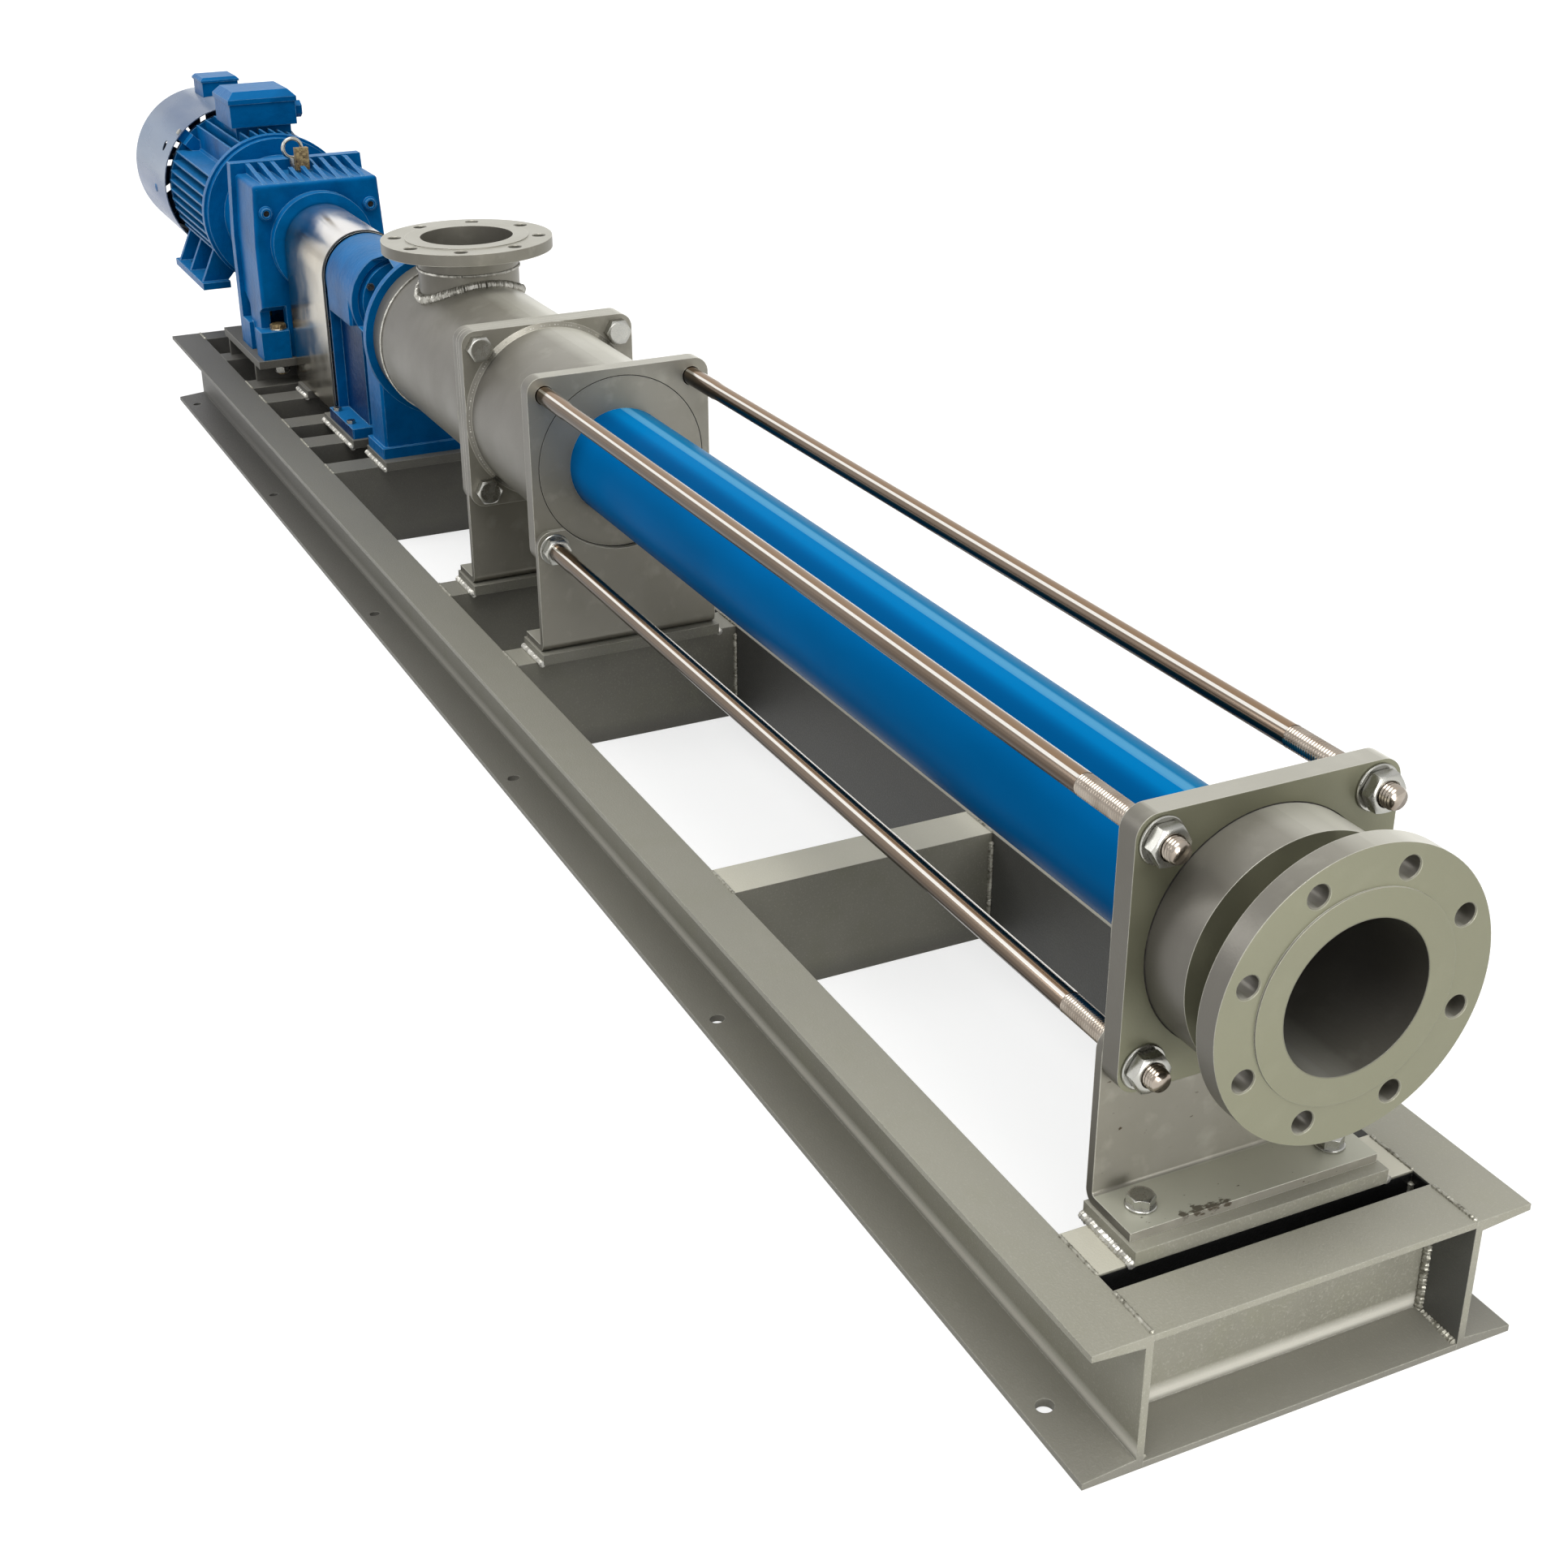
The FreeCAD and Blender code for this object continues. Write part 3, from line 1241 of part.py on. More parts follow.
def coupling():
    """Jaw coupling: two hubs and the rubber spider between their jaws."""
    face = "coupling_front - hub_length"
    rear_face = "hub_rear_front"
    coupling_hub("coupling_hub_pump", "coupling_front", face, face, f"{face} - jaw_length",
                 "drive_shaft_od / 2", -JAW_SECTOR / 2)
    coupling_hub("coupling_hub_gearbox", rear_face, "coupling_back", f"{rear_face} + jaw_length",
                 rear_face, "output_od / 2", HEX_STEP - JAW_SECTOR / 2)
    spider = new_body("coupling_spider")
    sketch = new_sketch(spider, "end", rear_face)
    circle(sketch, "0", "0", "coupling_od / 4 - fit_gap")
    circle(sketch, "0", "0", "coupling_od / 8")
    pad(spider, sketch, "spider_width")
    arms = new_sketch(spider, "end", f"{rear_face} + 2")
    spokes(arms, [HEX_STEP * step for step in range(6)],
           "coupling_od / 4 - 2", "coupling_od / 2 - 2", "spider_arm")
    pad(spider, arms, "spider_width - 4")


def coupling_guard():
    """Sheet cover over the coupling with straight sides and inturned feet."""
    body = new_body("coupling_guard")
    length = "guard_front - guard_end"
    for half, base, end, depth, cutting in (
        ("guard_half", "pad_top", "guard_end", length, False),
        ("guard_half - guard_sheet", "pad_top + guard_sheet", "guard_front + 1", f"{length} + 2", True),
    ):
        sides = new_sketch(body, "end", end)
        rectangle(sides, f"-({half})", half, base, "0")
        (pocket if cutting else pad)(body, sides, depth)
        arch = new_sketch(body, "end", end)
        circle(arch, "0", "0", half)
        (pocket if cutting else pad)(body, arch, depth)
    mouth = new_sketch(body, "end", "guard_front + 1")
    half = "guard_half - guard_foot"
    rectangle(mouth, f"-({half})", half, "pad_top - 1", "pad_top + guard_sheet + 1")
    pocket(body, mouth, f"{length} + 2")
    trim = new_body("guard_edge_trim")
    for half, cutting in (("guard_half + guard_sheet", False), ("guard_half", True)):
        start = "guard_front - guard_trim" if not cutting else "guard_front + 1"
        depth = "guard_trim + 2" if cutting else "guard_trim"
        sides = new_sketch(trim, "end", start)
        rectangle(sides, f"-({half})", half, "pad_top" if not cutting else "pad_top - 1", "0")
        (pocket if cutting else pad)(trim, sides, depth)
        arch = new_sketch(trim, "end", start)
        circle(arch, "0", "0", half)
        (pocket if cutting else pad)(trim, arch, depth)


def gearbox_housing():
    """Gearbox casting: body, foot blocks, round boss, top ribs, open at the rear."""
    body = new_body("gearbox_housing")
    shell = new_sketch(body, "end", "gear_back")
    polygon(shell, [
        ("-gear_waist + gear_setback", "gear_foot"),
        ("gear_waist - gear_setback", "gear_foot"),
        ("gear_waist - gear_setback", "0"),
        ("gear_shoulder", "gear_top"),
        ("-gear_shoulder", "gear_top"),
        ("-gear_waist + gear_setback", "0"),
    ])
    pad(body, shell, "gear_body_front - gear_back")
    height = number("gear_top")
    lowest = number("gear_foot")

    def outline_edge(edge):
        if edge.BoundBox.ZMin < lowest + 1:
            return False
        at_top = is_near(edge.BoundBox.ZMin, height) and along(edge, "x")
        at_front = edge.BoundBox.XLength < 1e-6 and edge.BoundBox.XMax > number("gear_body_front") - 1
        return at_top or (at_front and not is_near(edge.BoundBox.ZMax, lowest))

    round_edges(body, "8", outline_edge)
    blocks = new_sketch(body, "plan", "gear_foot")
    for side in (-1, 1):
        outer = f"{side} * gear_waist"
        inner = f"{side} * (gear_waist - foot_block)"
        for front, back in (("gear_front", "gear_front - foot_block_length"),
                            ("gear_back + foot_block_length", "gear_back")):
            polygon(blocks, [(back, inner), (front, inner), (front, outer), (back, outer)])
    pad(body, blocks, "gear_foot_thick")
    for near, far in (("gear_waist + 1", "gear_waist - foot_block"),
                      ("foot_block - gear_waist", "-gear_waist - 1")):
        niche = new_sketch(body, "side", near)
        niche_floor = "gear_foot + gear_foot_thick"
        for front, back in (("gear_front + 1", "gear_front - niche_depth"),
                            ("gear_back - 1", "gear_back + niche_depth")):
            polygon(niche, [
                (back, niche_floor), (front, niche_floor), (front, "niche_top"),
                (back, "niche_top - niche_depth / 2"),
            ])
        pocket(body, niche, f"{near} - ({far})")
    boss = new_sketch(body, "end", "gear_body_front - 1")
    circle(boss, "0", "0", "boss_od / 2")
    pad(body, boss, "gear_setback + boss_rise + 1")
    ribs = new_sketch(body, "end", "gear_back")
    for step in range(-4, 5):
        centre = f"{step} * rib_pitch"
        rectangle(ribs, f"{centre} - rib_thick / 2", f"{centre} + rib_thick / 2",
                  "gear_top - 1", "gear_flange_top - 2")
    pad(body, ribs, "gear_body_front - gear_back - 6")
    slope = new_sketch(body, "side")
    polygon(slope, [
        ("gear_body_front", "gear_top"),
        ("gear_body_front", "gear_flange_top"),
        ("gear_back", "gear_flange_top"),
    ])
    pocket(body, slope, "2 * gear_waist", symmetric=True)
    seat_cut = new_sketch(body, "plan", "gear_flange_top + 1")
    rectangle(seat_cut, "gear_back - 1", "gear_back + 54", "-48", "26")
    pocket(body, seat_cut, "gear_flange_top - gear_top + 1")
    cavity = new_sketch(body, "end", "cavity_front")
    rectangle(cavity, "-gear_shoulder + gear_wall", "gear_shoulder - gear_wall",
              "gear_foot + 2 * gear_wall", "gear_top - gear_wall")
    pocket(body, cavity, "cavity_front - gear_back + 1")
    output = new_sketch(body, "end", "gear_front + boss_rise + 1")
    circle(output, "0", "0", "gear_bearing_od / 2")
    pocket(body, output, "gear_setback + boss_rise + front_wall + 2")
    blind = new_sketch(body, "end", "cavity_front + counter_bearing_width")
    circle(blind, "0", "-shaft_distance", "counter_bearing_od / 2")
    pocket(body, blind, "counter_bearing_width + 1")
    bolts = new_sketch(body, "plan", "gear_foot + gear_foot_thick + 1")
    for u, v in GEAR_BOLTS:
        circle(bolts, u, v, "gear_bolt / 2 + hole_gap")
    pocket(body, bolts, "gear_foot_thick + 2")


GEAR_BOLTS = [
    (station, f"{side} * gear_bolt_pitch")
    for station in ("gear_front - gear_bolt_inset", "gear_back + gear_bolt_inset")
    for side in (-1, 1)
]


def gearbox_cover():
    """Square flange and round lantern between the gearbox and the motor."""
    body = new_body("gearbox_cover")
    plate = new_sketch(body, "end", "gear_flange_back")
    polygon(plate, [
        ("-gear_waist", "gear_foot"),
        ("gear_waist", "gear_foot"),
        ("gear_waist", "0"),
        ("gear_shoulder + 9", "gear_flange_top"),
        ("-gear_shoulder - 9", "gear_flange_top"),
        ("-gear_waist", "0"),
    ])
    pad(body, plate, "gear_flange_thick")
    revolve(body, [
        ("gear_flange_back + 1", "0"),
        ("gear_flange_back + 1", "adapter_front_od / 2"),
        ("motor_face + motor_flange_thick", "adapter_front_od / 2"),
        ("motor_face + motor_flange_thick", "motor_flange_od / 2 - 6"),
        ("motor_face", "motor_flange_od / 2 - 6"),
        ("motor_face", "0"),
    ])
    revolve(body, [
        ("gear_flange_back", "0"),
        ("gear_flange_back", "adapter_front_od / 2 - gear_wall"),
        ("motor_face - 1", "adapter_front_od / 2 - gear_wall"),
        ("motor_face - 1", "0"),
    ], "Groove")
    bore = new_sketch(body, "end", "gear_back + 1")
    circle(bore, "0", "0", "motor_shaft_od / 2 + hole_gap")
    pocket(body, bore, "gear_flange_thick + 2")
    blind = new_sketch(body, "end", "gear_back + 1")
    circle(blind, "0", "-shaft_distance", "counter_bearing_od / 2")
    pocket(body, blind, "counter_bearing_width + 1")


def gear_outline(module, teeth, tooth_angle):
    """Outline of a spur gear with straight-sided steps on involute flanks."""
    pitch_radius = module * teeth / 2
    base_radius = pitch_radius * math.cos(PRESSURE_ANGLE)
    tip = pitch_radius + module
    root = pitch_radius - 1.25 * module
    play = value("backlash") / 2 / pitch_radius
    half_pitch_tooth = math.pi / 2 / teeth - play / 2

    def roll(radius):
        turn = math.acos(min(1.0, base_radius / radius))
        return math.tan(turn) - turn

    radii = [max(root, base_radius)]
    radii += [radii[0] + (tip - radii[0]) * step / 3 for step in (1, 2, 3)]
    flank = [(radius, half_pitch_tooth + roll(pitch_radius) - roll(radius)) for radius in radii]
    if root < radii[0]:
        flank.insert(0, (root, flank[0][1]))
    corners = []
    for tooth in range(teeth):
        middle = tooth_angle + 2 * math.pi * tooth / teeth
        sides = [(radius, middle - half) for radius, half in flank]
        sides += [(radius, middle + half) for radius, half in reversed(flank)]
        corners += [Vector(0, r * math.cos(a), r * math.sin(a)) for r, a in sides]
    return Part.Face(Part.makePolygon(corners + corners[:1]))


PRESSURE_ANGLE = 20 * RADIANS
# Direction from the output shaft to the countershaft, from +Y towards +Z.
DOWN = -math.pi / 2


def gear_module(first, second):
    """Module that fits two tooth counts to the shaft distance."""
    return 2 * value("shaft_distance") / (value(first) + value(second))


def shaft_bar(front, back, radius, z=0.0):
    return Part.makeCylinder(radius, front - back, Vector(back, 0, z), Vector(1, 0, 0))


def placed_gear(module, teeth, tooth_angle, front, width, z=0.0):
    wheel = gear_outline(module, teeth, tooth_angle).extrude(Vector(width, 0, 0))
    return wheel.translated(Vector(front - width, 0, z))


def gear_train():
    """Output gear, countershaft with its pinion and wheel, and the motor shaft."""
    low = -value("shaft_distance")
    output_module = gear_module("output_teeth", "pinion_teeth")
    input_module = gear_module("input_teeth", "wheel_teeth")
    front = value("output_gear_front")
    width = value("gear_width")
    wheel_front = value("wheel_front")
    wheel_width = value("wheel_width")
    tail = front - width - 6
    output_radius = value("output_od") / 2
    gear = placed_gear(output_module, int(value("output_teeth")), DOWN, front, width)
    free_shape("output_gear", gear.cut(shaft_bar(front + 1, tail - 1, output_radius)))
    pinion_teeth = int(value("pinion_teeth"))
    wheel_teeth = int(value("wheel_teeth"))
    pinion_turn = DOWN + math.pi + math.pi / pinion_teeth
    pinion = placed_gear(output_module, pinion_teeth, pinion_turn, front + 1, width + 2, low)
    counter_radius = value("counter_shaft_od") / 2
    bearing = value("counter_bearing_width")
    counter_front = value("cavity_front") + bearing - 1
    counter_back = value("gear_back") - bearing + 1
    counter = shaft_bar(counter_front, counter_back, counter_radius, low)
    free_shape("countershaft", pinion.fuse(counter))
    wheel = placed_gear(input_module, wheel_teeth, DOWN + math.pi, wheel_front, wheel_width, low)
    bore = shaft_bar(wheel_front + 1, wheel_front - wheel_width - 1, counter_radius, low)
    free_shape("countershaft_wheel", wheel.cut(bore))
    input_teeth = int(value("input_teeth"))
    input_turn = DOWN + math.pi / input_teeth
    input_front = wheel_front + 3
    input_back = wheel_front - wheel_width - 3
    input_pinion = placed_gear(input_module, input_teeth, input_turn, input_front,
                               input_front - input_back)
    shaft = shaft_bar(input_back, value("motor_body_end") - 34, value("motor_shaft_od") / 2)
    free_shape("motor_shaft", input_pinion.fuse(shaft))


def drive_bearings():
    """Bearings of the output shaft, the countershaft and the motor."""
    below = ("0", "-shaft_distance")
    middle = ("0", "0")

    def race(bore, shaft):
        return [("circle", bore), ("circle", f"{shaft} + 2 * run_gap")]

    output = race("gear_bearing_od", "output_od")
    counter = race("counter_bearing_od", "counter_shaft_od")
    motor = race("motor_bearing_od", "motor_shaft_od")
    groups("drive_bearings", "end", [
        ([middle], output, "cavity_front + 1", "gear_front - cavity_front - 5"),
        ([below], counter, "cavity_front", "counter_bearing_width"),
        ([below], counter, "gear_back - counter_bearing_width", "counter_bearing_width"),
        ([middle], motor, "motor_flange_back + 1", "motor_bearing_width"),
        ([middle], motor, "motor_body_end - motor_bearing_width", "motor_bearing_width"),
    ])


def output_shaft():
    front = "coupling_back + hub_length - 6"
    turned("output_shaft", [
        (front, "0"),
        (front, "output_od / 2"),
        ("output_gear_front - gear_width - 6", "output_od / 2"),
        ("output_gear_front - gear_width - 6", "0"),
    ])


def gearbox_fittings():
    """Foot bolts and nuts, oil plugs, vent plug and lifting eye."""
    block_top = "gear_foot + gear_foot_thick"
    groups("gearbox_bolts", "plan", [
        (GEAR_BOLTS, [("circle", "gear_bolt")], "gear_nut_face - gear_bolt * 1.15",
         "gear_foot_thick + stand_thick + gear_bolt * 1.15"),
        (GEAR_BOLTS, [("hexagon", "gear_bolt_head")], block_top, "gear_bolt * 0.62"),
        (GEAR_BOLTS, [("hexagon", "gear_bolt_head"), ("circle", "gear_bolt + 2 * thread_gap")],
         "gear_nut_face - gear_bolt * 0.8", "gear_bolt * 0.8"),
    ])
    plugs = [("-plug_offset", "plug_height"), ("plug_offset", "plug_height"), ("0", "-168")]
    groups("oil_plugs", "end", [
        (plugs, [("circle", "plug_od")], "gear_body_front", "6"),
        (plugs, [("hexagon", "plug_od / 2")], "gear_body_front + 6", "4"),
    ])
    eye_x = "gear_back + 24"
    plug = new_body("vent_plug")
    stem = new_sketch(plug, "plan", "gear_top")
    hexagon(stem, "gear_back + 42", "vent_y", "vent_width / 2")
    pad(plug, stem, "5")
    cap = new_sketch(plug, "plan", "gear_top + 5")
    rectangle(cap, "gear_back + 34", "gear_back + 50", "vent_y - vent_width / 2",
              "vent_y + vent_width / 2")
    pad(plug, cap, "vent_height - 5")
    torus = doc.addObject("Part::Torus", "eye_ring")
    bind(torus, "Radius1", "(eye_od - eye_wire) / 2")
    bind(torus, "Radius2", "eye_wire / 2")
    torus.Placement = Placement(Vector(), Rotation(Vector(0, 1, 0), 90))
    bind(torus, "Placement.Base.z", "gear_top + eye_rise")
    stem = doc.addObject("Part::Cylinder", "eye_stem")
    bind(stem, "Radius", "eye_wire")
    bind(stem, "Height", "eye_rise - eye_od / 2 + eye_wire / 2")
    bind(stem, "Placement.Base.z", "gear_top")
    eye = fuse("lifting_eye", [torus, stem])
    eye.Label = "lifting_eye"
    seat(eye, eye_x, "eye_y")


def gearbox_stand():
    """Welded stand: top plate on two walls and two webs over the cross channels."""
    body = new_body("gearbox_stand")
    plate = new_sketch(body, "plan", "gear_nut_face")
    rectangle(plate, "stand_front - stand_length", "stand_front", "-stand_half", "stand_half")
    pad(body, plate, "stand_thick")
    back = "stand_front - stand_length"
    height = "gear_nut_face - rail_top"
    walls = new_sketch(body, "plan", "rail_top")
    for rear in ("stand_front - 70", f"{back} + 16"):
        rectangle(walls, rear, f"{rear} + stand_wall", "-stand_half + 4", "stand_half - 4")
    pad(body, walls, height)
    webs = new_sketch(body, "plan", "rail_top")
    for side in (-1, 1):
        inner = f"{side} * (gear_bolt_pitch - 40)"
        outer = f"{side} * (gear_bolt_pitch - 50)"
        low, high = (inner, outer) if side < 0 else (outer, inner)
        rectangle(webs, f"{back} + 20", "stand_front - 66", low, high)
    pad(body, webs, height)
    bolts = new_sketch(body, "plan", "gear_foot + 1")
    for u, v in GEAR_BOLTS:
        circle(bolts, u, v, "gear_bolt / 2 + hole_gap")
    pocket(body, bolts, "stand_thick + 2")


def spokes(sketch, angles, inner, outer, width):
    """Straight bars pointing away from the middle of an end sketch."""
    for angle in angles:
        corners = []
        for reach, side in ((inner, -1), (outer, -1), (outer, 1), (inner, 1)):
            half = f"{side} * ({width}) / 2"
            corners.append((
                f"({reach}) * cos({angle}) - {half} * sin({angle})",
                f"({reach}) * sin({angle}) + {half} * cos({angle})",
            ))
        polygon(sketch, corners)


DIAGONALS = [45, 135, 225, 315]


def motor_ends():
    """Motor flange in front, and end shield with the cowl's seats behind."""
    body = new_body("motor_end_shields")
    for back, thick, reach in (
        ("motor_flange_back", "motor_flange_thick", "motor_flange_od / 2"),
        ("motor_body_end - shield_thick", "shield_thick", "fin_od / 2 - 4"),
    ):
        sketch = new_sketch(body, "end", back)
        circle(sketch, "0", "0", reach)
        circle(sketch, "0", "0", "motor_bearing_od / 2")
        pad(body, sketch, thick)
    seats = new_sketch(body, "end", "motor_body_end - shield_thick")
    spokes(seats, DIAGONALS, "fin_od / 2 - 12", "cowl_od / 2 - cowl_sheet", "lug_size")
    pad(body, seats, "shield_thick")
    revolve(body, [
        ("motor_body_end + 1", "cowl_od / 2 - cowl_sheet"),
        ("motor_body_end + 1", "cowl_od / 2 + cowl_sheet"),
        ("motor_body_end - shield_thick - 1", "cowl_od / 2 + cowl_sheet"),
        ("motor_body_end - shield_thick - 1", "cowl_od / 2 - cowl_sheet"),
    ], "Groove")


def motor_frame():
    """Motor frame with fins, corner lugs, neck of the terminal box and two feet."""
    body = new_body("motor_frame")
    sleeve = new_sketch(body, "end", "motor_body_end")
    circle(sleeve, "0", "0", "motor_core_od / 2")
    pad(body, sleeve, "motor_flange_back - motor_body_end")
    for side, upright in ((-1, False), (1, False), (-1, True), (1, True)):
        fins = new_sketch(body, "end", "motor_body_end + 8")
        for step in range(-4, 5):
            place = f"{step} * fin_pitch"
            base = f"{side} * (sqrt((motor_core_od / 2)^2 - ({place})^2) - 3)"
            tip = f"{side} * sqrt((fin_od / 2)^2 - ({place})^2)"
            low = f"{place} - fin_thick / 2"
            high = f"{place} + fin_thick / 2"
            corners = [(base, low), (tip, low), (tip, high), (base, high)]
            polygon(fins, [(v, u) for u, v in corners] if upright else corners)
        pad(body, fins, "motor_flange_back - motor_body_end - 12")
    for back, length in (("motor_flange_back - 30", "30"), ("motor_body_end", "30")):
        lugs = new_sketch(body, "end", back)
        spokes(lugs, DIAGONALS, "motor_core_od / 2 - 8", "fin_od / 2 - 6", "lug_size")
        pad(body, lugs, length)
    left = "box_offset - box_half + box_neck"
    right = "box_offset + box_half - box_neck"
    back = "box_front - box_length"
    neck = new_sketch(body, "plan", "motor_core_od / 2 - 30")
    rectangle(neck, f"{back} + box_neck", "box_front - box_neck", left, right)
    pad(body, neck, "box_bottom - motor_core_od / 2 + 30")
    feet = new_sketch(body, "plan", "motor_foot_top - motor_foot_thick")
    foot_back = "motor_foot_front - motor_foot_length"
    for side in (-1, 1):
        inner = f"{side} * (motor_foot_half - motor_foot_width)"
        outer = f"{side} * motor_foot_half"
        polygon(feet, [(foot_back, inner), ("motor_foot_front", inner),
                       ("motor_foot_front", outer), (foot_back, outer)])
    pad(body, feet, "motor_foot_thick")
    for station in ("motor_foot_front - 20", "motor_foot_front - motor_foot_length / 2",
                    f"{foot_back} + 32"):
        webs = new_sketch(body, "end", f"{station} - rib_web")
        for side in (-1, 1):
            polygon(webs, [
                (f"{side} * motor_core_od * 0.24", "-motor_core_od * 0.42"),
                (f"{side} * motor_core_od * 0.46", "-motor_core_od * 0.18"),
                (f"{side} * (motor_foot_half - 4)", "motor_foot_top - 1"),
                (f"{side} * (motor_foot_half - motor_foot_width)", "motor_foot_top - 1"),
            ])
        pad(body, webs, "rib_web")
    bore = new_sketch(body, "end", "motor_face")
    circle(bore, "0", "0", "motor_core_id / 2")
    pocket(body, bore, "motor_face - motor_body_end + 2")
    holes = new_sketch(body, "plan", "motor_foot_top + 1")
    for station in ("motor_foot_front - 45", f"{foot_back} + 55"):
        for side in (-1, 1):
            circle(holes, station, f"{side} * (motor_foot_half - motor_foot_width / 2)",
                   "motor_foot_hole / 2")
    pocket(body, holes, "motor_foot_thick + 2")


def motor_inside():
    """Stator core, rotor core and the shaft through them."""
    front = "motor_flange_back - 60"
    back = "motor_body_end + 50"
    ring("motor_stator_core", front, back, "motor_core_id / 2", "motor_rotor_od / 2 + air_gap")
    ring("motor_rotor_core", front, back, "motor_rotor_od / 2", "motor_shaft_od / 2")


def terminal_box(tub, lids, front, length, half, offset, bottom, height, lid, floor="box_wall"):
    """A terminal box open at the top, and its bevelled lid."""
    back = f"{front} - {length}"
    left = f"{offset} - {half}"
    right = f"{offset} + {half}"
    inner = (f"{back} + box_wall", f"{front} - box_wall", f"{left} + box_wall", f"{right} - box_wall")
    outside = new_sketch(tub, "plan", bottom)
    rectangle(outside, back, front, left, right)
    pad(tub, outside, height)
    inside = new_sketch(tub, "plan", f"{bottom} + {height}")
    rectangle(inside, *inner)
    pocket(tub, inside, f"{height} - {floor}")
    rim = new_sketch(lids, "plan", f"{bottom} + {height}")
    rectangle(rim, f"{back} - lid_lip", f"{front} + lid_lip", f"{left} - lid_lip", f"{right} + lid_lip")
    pad(lids, rim, lid)
    top = number(f"{bottom} + {height} + {lid}")
    reach = number(f"{back} - 2 * lid_lip")

    def crown(edge):
        box = edge.BoundBox
        return is_near(box.ZMin, top) and reach < box.XMin < reach + 2 * number(length)

    round_edges(lids, f"{lid} * 0.6", crown, "Chamfer")
    under = new_sketch(lids, "plan", f"{bottom} + {height} + {lid} / 4")
    rectangle(under, *inner)
    pocket(lids, under, f"{lid} / 4")


def cable_gland(label, station, face, height, flats, length):
    """Screwed cable entry: collar, hexagon nut and its mouth."""
    body = new_body(label)
    nut = new_sketch(body, "side", f"-({face}) - {length}")
    hexagon(nut, station, height, flats, HEX_STEP / 2)
    pad(body, nut, length)
    hole = new_sketch(body, "side", f"-({face}) - {length} - 1")
    circle(hole, station, height, f"{flats} * 0.28")
    pocket(body, hole, f"2 * ({length}) - 4", symmetric=True)


def terminal_boxes():
    """Terminal boxes of the motor and of the fan, and the motor's cable gland."""
    boxes = new_body("terminal_boxes")
    lids = new_body("terminal_box_lids")
    terminal_box(boxes, lids, "box_front", "box_length", "box_half",
                 "box_offset", "box_bottom", "box_height", "lid_height")
    terminal_box(boxes, lids, "vent_box_front", "vent_box_length",
                 "vent_box_half", "vent_box_offset", "vent_box_bottom", "vent_box_height",
                 "vent_lid", "(cowl_od / 2 - vent_box_bottom + box_wall)")
    revolve(boxes, [
        ("vent_box_front + 5", "0"),
        ("vent_box_front + 5", "cowl_od / 2"),
        ("vent_box_front - vent_box_length - 5", "cowl_od / 2"),
        ("vent_box_front - vent_box_length - 5", "0"),
    ], "Groove")
    cable_gland("cable_gland", "box_front - box_length / 3", "box_offset + box_half",
                "box_bottom + box_height / 2", "gland_size", "gland_size * 0.7")


def fan_cowl():
    """Cylindrical cowl with a slotted end wall and round openings."""
    body = new_body("fan_cowl")
    revolve(body, [
        ("cowl_front", "cowl_od / 2 - cowl_sheet"),
        ("cowl_front", "cowl_od / 2"),
        ("cowl_rear", "cowl_od / 2"),
        ("cowl_rear", "0"),
        ("cowl_rear + cowl_sheet", "0"),
        ("cowl_rear + cowl_sheet", "cowl_od / 2 - cowl_sheet"),
    ])
    slots = new_sketch(body, "end", "cowl_rear + cowl_sheet + 1")
    spokes(slots, [HEX_STEP / 2 * step for step in range(12)],
           "vent_motor_od / 2 + 8", "cowl_od / 2 - 22", "14")
    pocket(body, slots, "cowl_sheet + 2")
    for angle in (150, 30):
        opening = radial_sketch(body, angle, "cowl_od / 2 + 1")
        circle(opening, "cowl_front - 70", "0", "cowl_hole / 2")
        pocket(body, opening, "12 * cowl_sheet")


def forced_fan():
    """Ventilation fan, its shaft and its own small motor inside the cowl."""
    fan = new_body("ventilation_fan")
    hub = new_sketch(fan, "end", "fan_front - fan_width")
    circle(hub, "0", "0", "fan_hub_od / 2")
    pad(fan, hub, "fan_width")
    blades = new_sketch(fan, "end", "fan_front - fan_width + 4")
    turn = FULL_TURN / value("fan_blades")
    spokes(blades, [turn * step for step in range(int(value("fan_blades")))],
           "fan_hub_od / 2 - 4", "fan_od / 2", "5")
    pad(fan, blades, "fan_width - 8")
    bore = new_sketch(fan, "end", "fan_front + 1")
    circle(bore, "0", "0", "vent_shaft_od / 2")
    pocket(fan, bore, "fan_width + 2")
    turned("fan_shaft", [
        ("fan_front + 4", "0"),
        ("fan_front + 4", "vent_shaft_od / 2"),
        ("vent_motor_front - vent_motor_length + 20", "vent_shaft_od / 2"),
        ("vent_motor_front - vent_motor_length + 20", "0"),
    ])
    motor = new_body("fan_motor")
    back = "vent_motor_front - vent_motor_length"
    casing = new_sketch(motor, "end", back)
    circle(casing, "0", "0", "vent_motor_od / 2")
    pad(motor, casing, "vent_motor_length")
    arms = new_sketch(motor, "end", f"{back} + 30")
    spokes(arms, DIAGONALS, "vent_motor_od / 2 - 4", "cowl_od / 2 - cowl_sheet - 0.8", "24")
    pad(motor, arms, "6")
    hole = new_sketch(motor, "end", "vent_motor_front + 1")
    circle(hole, "0", "0", "vent_shaft_od / 2 + run_gap")
    pocket(motor, hole, "vent_motor_length - 14")


